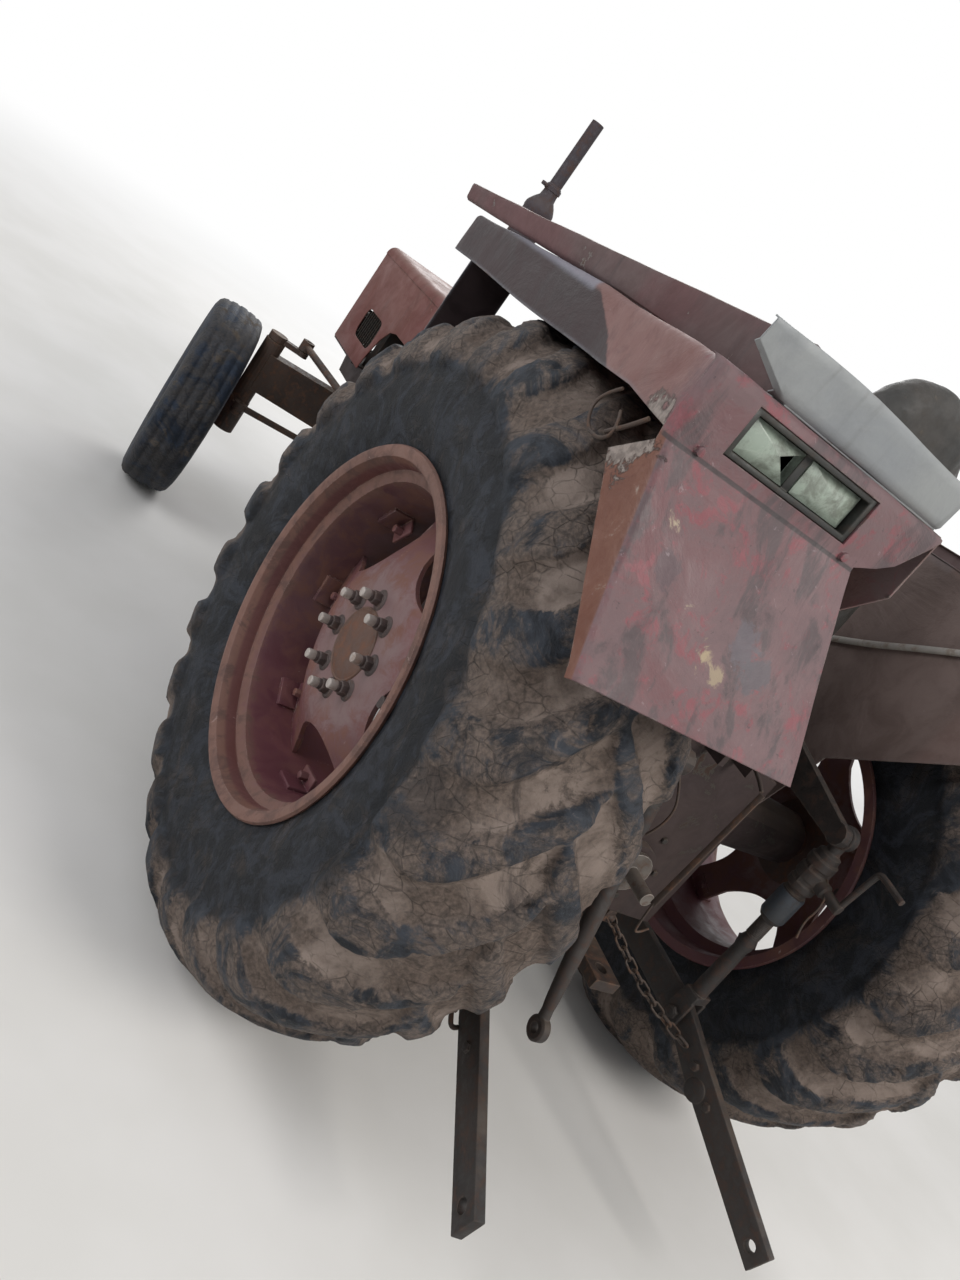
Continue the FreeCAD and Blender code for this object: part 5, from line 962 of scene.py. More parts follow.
def fenderSide(side, word):
    look = fender
    bm = bmesh.new()
    addSheet(bm, gridPiece(fenderTopRows(), None, look["wall"], look["dent"], side * 2.0), side)
    low, high, bottom, top = look["hole"]

    def inHole(middle):
        return low < middle.x < high and bottom < middle.z < top
    addSheet(bm, gridPiece(fenderBackRows(), inHole, look["wall"], look["dent"] * 0.8, side * 5.0), side)
    edge = [(-0.85, 0.86), (-0.85, 1.573), (0.05, 1.607), (0.612, 1.607), (0.612, 1.49), (0.45, 1.31),
            (0.14, 1.065), (0.09, 0.858), (-0.09, 0.858), (-0.16, 0.86)]
    addPlate(bm, edge, 0.004, axlePlace(side) @ Matrix.Translation((0.402, 0, 0)) @ onSide)
    # bolts under the tail panel's fold
    for x in (0.555, 0.895):
        addRod(bm, (side * x, rearY + 0.612, 1.5), (side * x, rearY + 0.627, 1.5), 0.008, None, 6, 0.001)
    finishPiece("fender_" + word + "Sheet", bm, "fenderPaint", "chassis", "fender_" + word, sharp=38)


for side, word in sides:
    fenderSide(side, word)


def fenderScraps():  # loop of wire and a hooked wire in the gap under the left skirt
    bm = bmesh.new()
    loop = [(0.952, 0.47, 1.5), (0.962, 0.44, 1.47), (0.966, 0.47, 1.43), (0.96, 0.51, 1.425),
            (0.956, 0.53, 1.45), (0.952, 0.5, 1.475)]
    addWire(bm, [(x, y + rearY, z) for x, y, z in loop], 0.0028)
    hook = [(0.955, 0.505, 1.44), (0.95, 0.54, 1.47), (0.948, 0.56, 1.492)]
    addWire(bm, [(x, y + rearY, z) for x, y, z in hook], 0.0035)
    finishPiece("fenderWire", bm, "rustyIron", sharp=60)


fenderScraps()


def tailLamps():  # black housings let into the lamp panels, each with two faceted square lenses
    cases = bmesh.new()
    lenses = bmesh.new()
    low, high, bottom, top = fender["hole"]
    middle = (low + high) / 2
    for side in (1, -1):
        place = axlePlace(side)
        addBox(cases, (low + 0.001, 0.576, bottom + 0.001), (high - 0.001, 0.584, top - 0.001), 0.001, place)
        for box in (((low + 0.001, 0.582, bottom + 0.001), (low + 0.012, 0.618, top - 0.001)),
                    ((high - 0.012, 0.582, bottom + 0.001), (high - 0.001, 0.618, top - 0.001)),
                    ((low + 0.01, 0.582, bottom + 0.001), (high - 0.01, 0.618, bottom + 0.01)),
                    ((low + 0.01, 0.582, top - 0.01), (high - 0.01, 0.618, top - 0.001)),
                    ((middle - 0.008, 0.582, bottom + 0.008), (middle + 0.008, 0.6, top - 0.008))):
            addBox(cases, box[0], box[1], 0.0018, place)
        for index, (start, end) in enumerate(((middle + 0.01, high - 0.014), (low + 0.014, middle - 0.01))):
            part = bmesh.new()
            foot = [(start, bottom + 0.011), (end, bottom + 0.011), (end, top - 0.011), (start, top - 0.011)]
            corners = [part.verts.new((x, 0.584, z)) for x, z in foot]
            front = [part.verts.new((x, 0.6, z)) for x, z in foot]
            peak = part.verts.new(((start + end) / 2 - 0.012, 0.611, (bottom + top) / 2 + 0.004))
            part.faces.new(corners[::-1])
            for one in range(4):
                two = (one + 1) % 4
                part.faces.new((corners[one], corners[two], front[two], front[one]))
                if side < 0 or index or one != 3:
                    part.faces.new((front[one], front[two], peak))
            bmesh.ops.recalc_face_normals(part, faces=part.faces)
            softenEdges(part, part.edges[:], 0.0012, 2)
            if side < 0:
                bmesh.ops.reverse_faces(part, faces=part.faces)
            join(lenses, part, place)
    finishPiece("tailLampCases", cases, "lampCase", "chassis", "tail_lamps")
    finishPiece("tailLampLenses", lenses, "lampLens", sharp=25)


tailLamps()


def trays():  # sheet trays on the fenders: grey floor, brown side, grey flange across the back
    brown = bmesh.new()
    grey = bmesh.new()
    for side in (1, -1):
        place = axlePlace(side)
        addBox(grey, (0.405, 0.07, 1.6115), (0.806, 0.59, 1.6145), 0.001, place)
        rows = []
        for y in spread(-0.805, 0.56, 44):
            low = 1.589 + 0.023 * min(1.0, (y + 0.805) / 0.86)
            high = 1.628 + 0.066 * ((y + 0.805) / 1.275) ** 1.15
            lean = 0.0025 * math.sin(y * 7 + side)
            row = [(0.8 + lean, y, low), (0.806 + lean, y, low + 0.004)]
            row += [(0.807 + lean + 0.004 * share, y, low + 0.004 + (high - low - 0.01) * share)
                    for share in spread(0.1, 0.95, 6)]
            row += [(0.81 + lean, y, high - 0.002), (0.804 + lean, y, high), (0.796 + lean, y, high - 0.001)]
            rows.append(row)
        addSheet(brown, gridPiece(rows, None, 0.0025, 0.0016, 3.0 * side), side)
        rows = []
        for x in spread(0.404, 0.912, 34):
            share = (x - 0.404) / 0.508
            wave = 0.0025 * math.sin(x * 21 + 1.0) * (1 - share)
            top = 1.694 + 0.004 * math.sin(x * 11)
            bottom = 1.613 + 0.037 * max(0.0, (share - 0.82) / 0.18)
            row = [(x, 0.56, bottom + 0.001)] if share < 0.82 else [(x, 0.589, bottom)]
            row += [(x, 0.59 + wave, bottom + 0.002)]
            row += [(x, 0.595 + wave + 0.005 * step, bottom + 0.004 + (top - bottom - 0.008) * step)
                    for step in spread(0.05, 1.0, 7)]
            row += [(x, 0.598 + wave, top), (x, 0.59 + wave, top + 0.001)]
            rows.append(row)
        addSheet(grey, gridPiece(rows, None, 0.0025, 0.0012, 4.0 * side), side)
    finishPiece("traySides", brown, "coverSheet", "chassis", "fender_covers", sharp=40)
    finishPiece("trayFlanges", grey, "greySheet", sharp=40)


trays()
print("fenders made")


linkage = {  # link measures in the link's own frame, with Y along it
    "pivot": (0.25, 0.839, 0.45),
    "sway": {1: math.radians(11.9), -1: math.radians(9.5)},
    "droop": {1: math.radians(10.5), -1: math.radians(13.1)},
    "bar": [(0.0, -0.031), (0.0, 0.031), (0.43, 0.091), (0.47, 0.096), (0.528, 0.09), (0.6, 0.08),
            (1.0234, 0.034), (1.0234, -0.034), (0.62, 0.003), (0.53, 0.018), (0.44, 0.016), (0.2, -0.012)],
    "barThick": 0.024,
    "hole": (0.985, 0.0, 0.01435),
    "liftHole": (0.48, 0.055, 0.0115),
    "armTip": (0.305, 1.3185, 1.0),
    "rodFoot": {1: (0.315, 1.537, 0.459), -1: (-0.329, 1.3125, 0.395)},
    "chainLink": 0.03,
    "chainWire": 0.0034,
    "eye": [(-0.013, 0.0125), (-0.013, 0.026), (-0.01, 0.03), (0.01, 0.03), (0.013, 0.026), (0.013, 0.0125)],
}


def linkFrame(side):
    look = linkage
    x, y, z = look["pivot"]
    turn = Matrix.Rotation(-side * look["sway"][side], 4, "Z") @ Matrix.Rotation(-look["droop"][side], 4, "X")
    return Matrix.Translation((side * x, y, z)) @ turn


def rodFrame(start, end):  # matrix whose X runs from start to end
    start = Vector(start)
    return Matrix.Translation(start) @ (Vector(end) - start).to_track_quat("X", "Z").to_matrix().to_4x4()


def chainLinkMesh():
    look = linkage
    bm = bmesh.new()
    long, wide = look["chainLink"] * 0.66, look["chainLink"] * 0.36
    loop = [(long, 0, 0), (long * 0.75, wide, 0), (0, wide, 0), (-long * 0.75, wide, 0),
            (-long, 0, 0), (-long * 0.75, -wide, 0), (0, -wide, 0), (long * 0.75, -wide, 0)]
    addWire(bm, loop, look["chainWire"], 4, True)
    return meshFrom("chainLink", bm)


# links laid end to end along a line through the points, each turned a quarter from the last
def addChain(bm, points, place=None):
    line = [Vector(point) for point in points]
    mesh = chainLinkMesh()
    step = linkage["chainLink"]
    walked, count = 0.0, 0
    for first, second in zip(line, line[1:]):
        span = (second - first).length
        while walked <= span:
            spot = first.lerp(second, walked / span)
            part = bmesh.new()
            part.from_mesh(mesh)
            frameAt = rodFrame(spot, second + (second - first))
            join(bm, part, (place or Matrix()) @ frameAt @ Matrix.Rotation(0.7 + count % 2 * math.pi / 2, 4, "X"))
            walked += step
            count += 1
        walked -= span
    bpy.data.meshes.remove(mesh)


def lowerLink(side, word):
    look = linkage
    place = linkFrame(side)
    bm = bmesh.new()
    addHoled(bm, look["bar"], [look["hole"], look["liftHole"]], look["barThick"], place @ onSide, 0.0022)
    addTurned(bm, [(-0.017, 0.0195), (-0.017, 0.03), (-0.014, 0.033), (0.014, 0.033), (0.017, 0.03),
                   (0.017, 0.0195)], place, 32)
    # worn ring round the end hole, forged shoulders by the bend and a stop bolt
    far, high, radius = look["hole"]
    ring = place @ Matrix.Translation((0, far, high))
    addTurned(bm, [(0.0085, radius), (0.0085, radius + 0.011), (0.0105, radius + 0.01), (0.0112, radius + 0.004),
                   (0.0105, radius)], ring, 32)
    addTurned(bm, [(-0.0085, radius), (-0.0105, radius), (-0.0112, radius + 0.004), (-0.0105, radius + 0.01),
                   (-0.0085, radius + 0.011)], ring, 32)
    addBox(bm, (-0.0135, 0.425, 0.022), (0.0135, 0.455, 0.088), 0.006, place)
    for along, above, reach in ((0.61, 0.045, 0.021), (0.7, 0.03, 0.018)):
        addRod(bm, (-reach, along, above), (reach, along, above), 0.0115, None, 6, 0.002, place)
    if side < 0:
        addRod(bm, (-0.016, 0.655, 0.018), (0.016, 0.655, 0.018), 0.03, None, 20, 0.006, place)
    finishPiece("lowerLink_" + word, bm, "linkageIron", "lower_link_" + word, "lower_link_" + word, sharp=30)


for side, word in sides:
    lowerLink(side, word)


def liftRodLeft():
    look = linkage
    top, foot = Vector(look["armTip"]), Vector(look["rodFoot"][1])
    place = rodFrame(top, foot)
    end = (foot - top).length
    bm = bmesh.new()
    addTurned(bm, [(0.012, 0.0002), (0.012, 0.015), (0.034, 0.016), (0.05, 0.02), (0.07, 0.0235), (0.15, 0.0235),
                   (0.158, 0.0205), (0.17, 0.0195), (0.3, 0.0205), (0.4, 0.0185), (0.47, 0.016),
                   (end - 0.06, 0.0138), (end - 0.04, 0.012), (end - 0.018, 0.013), (end - 0.018, 0.0002)],
              place, 28)
    for at in (0.078, 0.09, 0.102):
        addTurned(bm, [(at, 0.022), (at, 0.0252), (at + 0.006, 0.0252), (at + 0.006, 0.022)], place, 28)
    addTurned(bm, look["eye"], Matrix.Translation(top), 32)
    ring = [(-0.012, 0.0112), (-0.012, 0.021), (-0.008, 0.026), (0.008, 0.026), (0.012, 0.021), (0.012, 0.0112)]
    addTurned(bm, ring, Matrix.Translation(foot), 32)
    finishPiece("liftRod_left", bm, "linkageIron", "lift_rod_left", "lift_rod_left", sharp=35)


liftRodLeft()


def liftRodRight():  # levelling box with its crank, screwed rod and a fork astride the lower link
    look = linkage
    top, foot = Vector((-look["armTip"][0],) + look["armTip"][1:]), Vector(look["rodFoot"][-1])
    place = rodFrame(top, foot)
    end = (foot - top).length
    bm = bmesh.new()
    addTurned(bm, look["eye"], Matrix.Translation(top), 32)
    addTurned(bm, [(0.012, 0.0002), (0.012, 0.017), (0.045, 0.018), (0.052, 0.028), (0.066, 0.03), (0.07, 0.036),
                   (0.09, 0.036), (0.094, 0.032), (0.1, 0.032), (0.104, 0.036), (0.128, 0.036), (0.132, 0.033),
                   (0.14, 0.033), (0.144, 0.036), (0.16, 0.035), (0.166, 0.027), (0.172, 0.026), (0.176, 0.0295),
                   (0.262, 0.0295), (0.268, 0.026), (0.272, 0.019), (0.33, 0.0175), (0.345, 0.0225),
                   (0.36, 0.0225), (0.372, 0.019), (end - 0.2, 0.02), (end - 0.12, 0.0215), (end - 0.068, 0.0215),
                   (end - 0.068, 0.0002)], place, 32)
    for index in range(12):
        at = 0.276 + index * 0.0045
        addTurned(bm, [(at, 0.0178), (at + 0.0013, 0.0196), (at + 0.0026, 0.0178)], place, 24)
    start = top + (foot - top).normalized() * 0.118
    for angle in (0.6, 2.7, 4.8):
        bolt = (0.028 * math.cos(angle), 0.028 * math.sin(angle))
        addRod(bm, (0.082, *bolt), (0.15, *bolt), 0.008, None, 6, 0.001, place)
    addTurned(bm, [(0.0, 0.0002), (0.0, 0.02), (0.052, 0.019), (0.056, 0.0145), (0.104, 0.0135), (0.106, 0.0002)],
              rodFrame(start, start + Vector((-0.02, 0.105, -0.01))), 24)
    addWire(bm, [start + Vector(at) for at in ((-0.019, 0.094, -0.016), (-0.02, 0.098, 0.03), (-0.022, 0.103, 0.1),
                                               (-0.022, 0.106, 0.116), (-0.022, 0.125, 0.118),
                                               (-0.022, 0.188, 0.112))], 0.0078, 12)
    # fork with its bolt, as CAD has it, and the safety wire through the cotter's hole
    half = look["barThick"] / 2 + 0.007
    fork = Matrix.Translation(foot) @ Matrix.Rotation(look["sway"][-1], 4, "Z")
    for low in (-half - 0.012, half):
        addHoled(bm, [(-0.026, -0.026), (-0.014, -0.03), (0.014, -0.03), (0.026, -0.018), (0.026, 0.05),
                      (0.018, 0.058), (-0.018, 0.058), (-0.026, 0.05)], [(0, 0, 0.0105)], 0.012,
                 fork @ Matrix.Translation((low + 0.006, 0, 0)) @ onSide, 0.0025)
    addBox(bm, (-half - 0.012, -0.024, 0.05), (half + 0.012, 0.024, 0.076), 0.005, fork)
    addRod(bm, (-half - 0.02, 0, 0), (half + 0.022, 0, 0), 0.0105, None, 20, 0.001, fork)
    addRod(bm, (-half - 0.022, 0, 0), (-half - 0.012, 0, 0), 0.0165, None, 6, 0.0015, fork)
    addRod(bm, (half + 0.012, 0, 0), (half + 0.021, 0, 0), 0.0165, None, 6, 0.0015, fork)
    finishPiece("liftRod_right", bm, "linkageIron", "lift_rod_right", "lift_rod_right", sharp=35)
    bm = bmesh.new()
    loose = [(0.1, -0.034, 0.0), (0.11, -0.055, -0.01), (0.15, -0.075, -0.024), (0.2, -0.07, -0.03),
             (0.235, -0.085, -0.032)]
    addWire(bm, [place @ Vector(at) for at in loose], 0.003)
    finishPiece("boxWire", bm, "rustyIron", "lift_rod_right", sharp=60)
    bm = bmesh.new()
    addTurned(bm, [(0.18, 0.029), (0.18, 0.0318), (0.184, 0.0328), (0.254, 0.0328), (0.258, 0.0318),
                   (0.258, 0.029)], place, 36)
    finishPiece("boxSleeve", bm, "sleevePaint", "lift_rod_right", sharp=40)


liftRodRight()


def stabilizers():  # a chain on each side from a lug under the rear housing to the lower link, slack as found
    for side, word in sides:
        place = linkFrame(side)
        start = Vector((side * 0.105, 1.15, 0.478))
        end = place @ Vector((-side * 0.024, 0.56, 0.048))
        sag = 0.035 if side > 0 else 0.02
        line = [start.lerp(end, share) - Vector((0, 0, sag * math.sin(share * math.pi)))
                for share in spread(0.0, 1.0, 9)]
        bm = bmesh.new()
        addChain(bm, line)
        chain = finishPiece("stabilizerChain_" + word, bm, "rustyIron", None, sharp=60)
        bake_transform(chain)
        bm = bmesh.new()
        addRod(bm, (side * 0.08, 1.13, 0.478), (side * 0.112, 1.152, 0.478), 0.009, None, 12, 0.002)
        addBox(bm, (side * 0.095 - 0.014, 1.118, 0.462), (side * 0.095 + 0.014, 1.15, 0.5), 0.004)
        finishPiece("stabilizerLug_" + word, bm, "rustyIron")
    # shackle and a broken length of chain on the left link's outer face
    place = linkFrame(1)
    bm = bmesh.new()
    addWire(bm, [(0.012, 0.64, 0.0), (0.03, 0.65, 0.0), (0.034, 0.62, 0.01), (0.03, 0.585, 0.014),
                 (0.012, 0.59, 0.01)], 0.0055)
    addChain(bm, [(0.03, 0.6, 0.02), (0.028, 0.56, 0.028), (0.026, 0.5, 0.03), (0.024, 0.44, 0.034)])
    bmesh.ops.transform(bm, matrix=place, verts=bm.verts)
    finishPiece("shackleChain", bm, "rustyIron", "lower_link_left", sharp=60)


stabilizers()
print("linkage made")


seat = {  # two pads that the cloth simulation swells, from the front to the rear of the back
    "cushion": ((-0.228, 0.572, 1.182), (0.228, 0.99, 1.282)),
    "back": [(-0.215, 1.235), (0.215, 1.235), (0.228, 1.33), (0.226, 1.56), (0.205, 1.7), (0.16, 1.805),
             (0.09, 1.872), (0.0, 1.895), (-0.09, 1.872), (-0.16, 1.805), (-0.205, 1.7), (-0.226, 1.56),
             (-0.228, 1.33)],
    "backFront": 0.919,
    "backRear": 0.992,
    "voxel": 0.008,
    "pressure": 4.0,
    "cap": 0.012,
    "fill": 0.6,
}


def swell(mesh):  # blows the pad up with cloth, but keeps each point near its old place
    look = seat
    grid = remeshed(mesh, look["voxel"])
    pad = placeObject("pad", grid)
    cloth = pad.modifiers.new("cloth", "CLOTH")
    cloth.settings.use_pressure = True
    cloth.settings.uniform_pressure_force = look["pressure"]
    cloth.settings.effector_weights.gravity = 0
    cloth.settings.tension_stiffness = 12
    for step in range(1, 21):
        bpy.context.scene.frame_set(step)
    swollen = pad.evaluated_get(bpy.context.evaluated_depsgraph_get()).data
    moved = [vert.co.copy() for vert in swollen.vertices]
    bpy.data.objects.remove(pad)
    for vert, there in zip(grid.vertices, moved):
        shift = there - vert.co
        vert.co += shift * min(1.0, look["cap"] / max(shift.length, 1e-9))
    bpy.context.scene.frame_set(1)
    bm = bmesh.new()
    bm.from_mesh(grid)
    return bm


def seatPiece(name, bm):
    bmesh.ops.recalc_face_normals(bm, faces=bm.faces)
    grown = swell(meshFrom("seatRough", bm))
    relax(grown, 3)
    for vert in grown.verts:
        crease = noise.fractal(vert.co * 9.0, 0.9, 2.0, 4)
        if name == "seatBack":
            seam = math.exp(-((vert.co.z - 1.5) / 0.01) ** 2) + math.exp(-((abs(vert.co.x) - 0.15) / 0.009) ** 2)
            vert.co.y += 0.006 * seam if vert.co.y < 0.95 else -0.002 * seam
        else:
            seam = math.exp(-((abs(vert.co.x) - 0.14) / 0.01) ** 2)
            vert.co.z -= 0.006 * seam if vert.co.z > 1.25 else 0
        vert.co += vert.normal * crease * 0.0022
    piece = finishPiece(name, grown, "seatVinyl", "chassis", "seat" if name == "seatBack" else None, sharp=180,
                        clean=False)
    smooth = piece.modifiers.new("smooth", "SUBSURF")
    smooth.levels = smooth.render_levels = 1


def makeSeat():
    look = seat
    bm = bmesh.new()
    addBox(bm, *look["cushion"], 0.03, None, 4)
    seatPiece("seatCushion", bm)
    bm = bmesh.new()
    turn = Matrix(((1, 0, 0, 0), (0, 0, 1, (look["backFront"] + look["backRear"]) / 2), (0, 1, 0, 0), (0, 0, 0, 1)))
    addPlate(bm, look["back"], look["backRear"] - look["backFront"], turn, 0.024)
    seatPiece("seatBack", bm)
    bm = bmesh.new()
    for x in (-0.15, 0.15):
        addBox(bm, (x - 0.02, 0.992, 1.19), (x + 0.02, 1.0, 1.42), 0.002)
        addBox(bm, (x - 0.02, 0.64, 1.176), (x + 0.02, 0.998, 1.186), 0.002)
        for z in (1.3, 1.39):
            addRod(bm, (x, 0.998, z), (x, 1.007, z), 0.009, None, 6, 0.001)
    finishPiece("seatBrackets", bm, "darkIron")


makeSeat()
print("seat made")


nose = {  # hood and side panels; the vent is y and z, the hole x, y and radius
    "half": 0.3,
    "front": -1.611,
    "back": -0.091,
    "low": 1.26,
    "top": 1.3015,
    "round": 0.034,
    "sideLow": 1.08,
    "noseLow": 0.87,
    "vent": (-1.435, -1.215, 0.945, 1.065),
    "ventRound": 0.035,
    "hole": (0.1, -1.081, 0.067),
}


def roundedLoop(low, right, bottom, top, radius, steps=6):
    loop = []
    for x, y, start in ((right - radius, top - radius, 0.0), (low + radius, top - radius, 0.5),
                        (low + radius, bottom + radius, 1.0), (right - radius, bottom + radius, 1.5)):
        loop += [(x + radius * math.cos((start + share) * math.pi), y + radius * math.sin((start + share) * math.pi))
                 for share in spread(0.0, 0.5, steps)]
    return loop


def hoodTop():
    look = nose
    half, top, corner = look["half"], look["top"], look["round"]
    rows = []
    for y in spread(look["front"], look["back"], 90):
        crown = top - 0.002 + 0.0015 * math.sin(y * 6.0)
        row = [(-half, y, look["low"]), (-half, y, crown - corner)]
        row += [(-half + corner * (1 - math.cos(turn)), y, crown - corner + corner * math.sin(turn))
                for turn in spread(0.25, math.pi / 2, 6)]
        row += [(x, y, crown + 0.0012 * math.cos(x * 5.2)) for x in spread(-half + corner, half - corner, 42)[1:-1]]
        row += [(half - corner * (1 - math.cos(turn)), y, crown - corner + corner * math.sin(turn))
                for turn in spread(math.pi / 2, 0.25, 6)]
        row += [(half, y, crown - corner), (half, y, look["low"])]
        rows.append(row)
    x, y, radius = look["hole"]

    def inHole(middle):
        return math.hypot(middle.x - x, middle.y - y) < radius
    bm = bmesh.new()
    join(bm, gridPiece(rows, inHole, 0.0025, 0.0016, 7.0, True))
    collar = Matrix.Translation((x, y, look["top"] - 0.004)) @ Matrix.Rotation(-math.pi / 2, 4, "Y")
    addTurned(bm, [(-0.002, radius - 0.008), (-0.002, radius + 0.018), (0.004, radius + 0.017), (0.0044, radius - 0.006)],
              collar, 48)
    finishPiece("hoodCover", bm, "hoodPaint", "chassis", "hood", sharp=40)


hoodTop()


def noseSides():  # side panels with a slatted vent, a folded edge and a few fixings
    look = nose
    start, back, low = look["front"], look["back"], look["noseLow"]
    outline = [(start, low), (start, look["low"]), (back, look["low"]), (back, look["sideLow"]),
               (start + 0.56, look["sideLow"]), (start + 0.5, look["sideLow"] - 0.015),
               (start + 0.455, low + 0.145), (start + 0.42, low + 0.06), (start + 0.412, low)]
    y0, y1, z0, z1 = look["vent"]
    for side, word in sides:
        bm = bmesh.new()
        place = Matrix.Translation((side * (look["half"] - 0.002), 0, 0)) @ onSide
        vent = roundedLoop(y0, y1, z0, z1, look["ventRound"])
        addHoled(bm, outline, [], 0.004, place, 0.0012, [vent])
        # lip round the vent and slats across it
        outer = roundedLoop(y0 - 0.006, y1 + 0.006, z0 - 0.006, z1 + 0.006, look["ventRound"] + 0.006)
        x = side * (look["half"] - 0.003)
        addWire(bm, [(x, y, z) for y, z in outer], 0.003, 8, True)
        finishPiece("noseSide_" + word, bm, "hoodPaint", "chassis", "side_panels" if side > 0 else None, sharp=40)
        bm = bmesh.new()
        for index in range(9):
            y = y0 + 0.018 + index * (y1 - y0 - 0.036) / 8
            reach = 0.0 if 0 < index < 8 else 0.012
            slat = Matrix.Translation((side * 0.29, y, (z0 + z1) / 2)) @ Matrix.Rotation(0.35 * side, 4, "Z")
            half = (z1 - z0) / 2 - 0.002 - reach
            addBox(bm, (-0.006, -0.0012, -half), (0.006, 0.0012, half), 0.0, slat)
        for z in spread(z0 + 0.02, z1 - 0.02, 5):
            addRod(bm, (side * 0.288, y0 + 0.004, z), (side * 0.288, y1 - 0.004, z), 0.0016, None, 8)
        finishPiece("noseVent_" + word, bm, "darkIron")
        bm = bmesh.new()
        for y, z in ((start + 0.04, 1.235), (start + 0.04, 0.905), (start + 0.55, 1.235), (start + 1.05, 1.235),
                     (back - 0.04, 1.235), (back - 0.04, 1.11), (start + 0.235, 0.905), (start + 0.75, 1.105)):
            addRod(bm, (side * 0.2935, y, z), (side * 0.2995, y, z), 0.0085, 0.0065, 12, 0.0012)
        finishPiece("noseFixings_" + word, bm, "rustyIron")


noseSides()


def noseFront():  # frame round the grille and two round headlamps in dished bezels
    look = nose
    bm = bmesh.new()
    y = look["front"] + 0.0005
    for x0, x1, z0, z1 in ((-0.298, -0.268, 0.872, 1.258), (0.268, 0.298, 0.872, 1.258),
                           (-0.27, 0.27, 1.228, 1.258), (-0.27, 0.27, 0.872, 0.898)):
        addBox(bm, (x0, y, z0), (x1, y + 0.012, z1), 0.004)
    finishPiece("grilleFrame", bm, "hoodPaint")
    cases = bmesh.new()
    lenses = bmesh.new()
    for side in (1, -1):
        place = Matrix.Translation((side * 0.19, -1.634, 0.96)) @ Matrix.Rotation(math.pi / 2, 4, "Z")
        place = place @ Matrix.Rotation(math.pi, 4, "Z")
        addTurned(cases, [(-0.024, 0.0002), (-0.024, 0.05), (-0.01, 0.066), (0.01, 0.07), (0.021, 0.0718),
                          (0.0245, 0.068), (0.0225, 0.062), (0.012, 0.06), (0.008, 0.0002)], place, 48)
        addTurned(lenses, [(0.011, 0.0002), (0.011, 0.0605), (0.016, 0.06), (0.0205, 0.045), (0.0228, 0.025),
                           (0.0236, 0.0002)], place, 48)
    finishPiece("headlampCases", cases, "lampCase", "chassis", "headlamps")
    finishPiece("headlampLenses", lenses, "lampLens", sharp=60)


noseFront()
print("nose made")


controls = {  # steering wheel and the exhaust's place
    "wheelMiddle": (0.0, 0.259, 1.59),
    "columnFoot": (0.0, 0.028, 1.302),
    "ring": 0.204,
    "grip": 0.0145,
    "muffler": (0.1, -1.081),
}


def steeringWheel():
    look = controls
    foot, middle = Vector(look["columnFoot"]), Vector(look["wheelMiddle"])
    place = rodFrame(middle, middle + (middle - foot))
    bm = bmesh.new()
    ring, grip = look["ring"], look["grip"]
    section = [(grip * math.sin(turn), ring + grip * math.cos(turn)) for turn in around(16)]
    addTurned(bm, section, place, 96)
    addTurned(bm, [(-0.034, 0.0002), (-0.034, 0.026), (-0.016, 0.04), (0.002, 0.044), (0.008, 0.038), (0.011, 0.02),
                   (0.012, 0.0002)], place, 48)
    finishPiece("steeringRing", bm, "blackPlastic", "chassis", "steering_wheel", sharp=50)
    bm = bmesh.new()
    for turn in around(3, math.radians(90)):
        spoke = [(-0.008, 0.036), (-0.018, 0.09), (-0.01, 0.16), (0.0, 0.2)]
        addWire(bm, [place @ Vector((along, far * math.cos(turn), far * math.sin(turn))) for along, far in spoke],
                0.0062, 12)
    finishPiece("steeringSpokes", bm, "darkIron", sharp=50)
    bm = bmesh.new()
    addTurned(bm, [(-0.372, 0.022), (-0.372, 0.03), (-0.36, 0.031), (-0.3, 0.0275), (-0.06, 0.027),
                   (-0.05, 0.0225)], place, 28)
    finishPiece("columnSleeve", bm, "darkIron", sharp=50)


steeringWheel()


def exhaustSkin():  # seamed silencer shell, clamp rings and a pipe with a ragged open end, over the plain stack
    x, y = controls["muffler"]
    up = Matrix.Translation((x, y, 0)) @ Matrix.Rotation(-math.pi / 2, 4, "Y")
    bm = bmesh.new()
    shell = [(1.362, 0.03), (1.364, 0.0505), (1.372, 0.0575), (1.384, 0.058), (1.388, 0.0562), (1.716, 0.0562),
             (1.72, 0.058), (1.734, 0.058), (1.742, 0.0555), (1.762, 0.044), (1.778, 0.0315), (1.8, 0.029),
             (1.826, 0.029), (1.83, 0.0245), (2.0795, 0.024), (2.0798, 0.0215), (2.04, 0.021), (1.38, 0.021)]
    addTurned(bm, shell, up, 48)
    addTurned(bm, [(1.806, 0.0285), (1.806, 0.033), (1.822, 0.033), (1.822, 0.0285)], up, 36)
    addBox(bm, (x + 0.028, y - 0.01, 1.807), (x + 0.05, y + 0.01, 1.821), 0.002)
    addRod(bm, (x + 0.041, y - 0.02, 1.814), (x + 0.041, y + 0.02, 1.814), 0.0045, None, 6)
    bm.normal_update()
    for vert in bm.verts:
        dent = noise.fractal(vert.co * 12.0, 0.9, 2.0, 3)
        side = Vector((vert.co.x - x, vert.co.y - y, 0))
        if side.length > 0.02:
            vert.co += side.normalized() * dent * 0.001
    finishPiece("exhaustShell", bm, "exhaustIron", sharp=45)


exhaustSkin()
print("controls and exhaust made")


def boltRow(bm, points, out, radius=0.01, head=0.007):
    for point in points:
        start = Vector(point)
        addRod(bm, start - Vector(out) * 0.002, start + Vector(out) * head, radius, radius * 0.94, 6, 0.001)


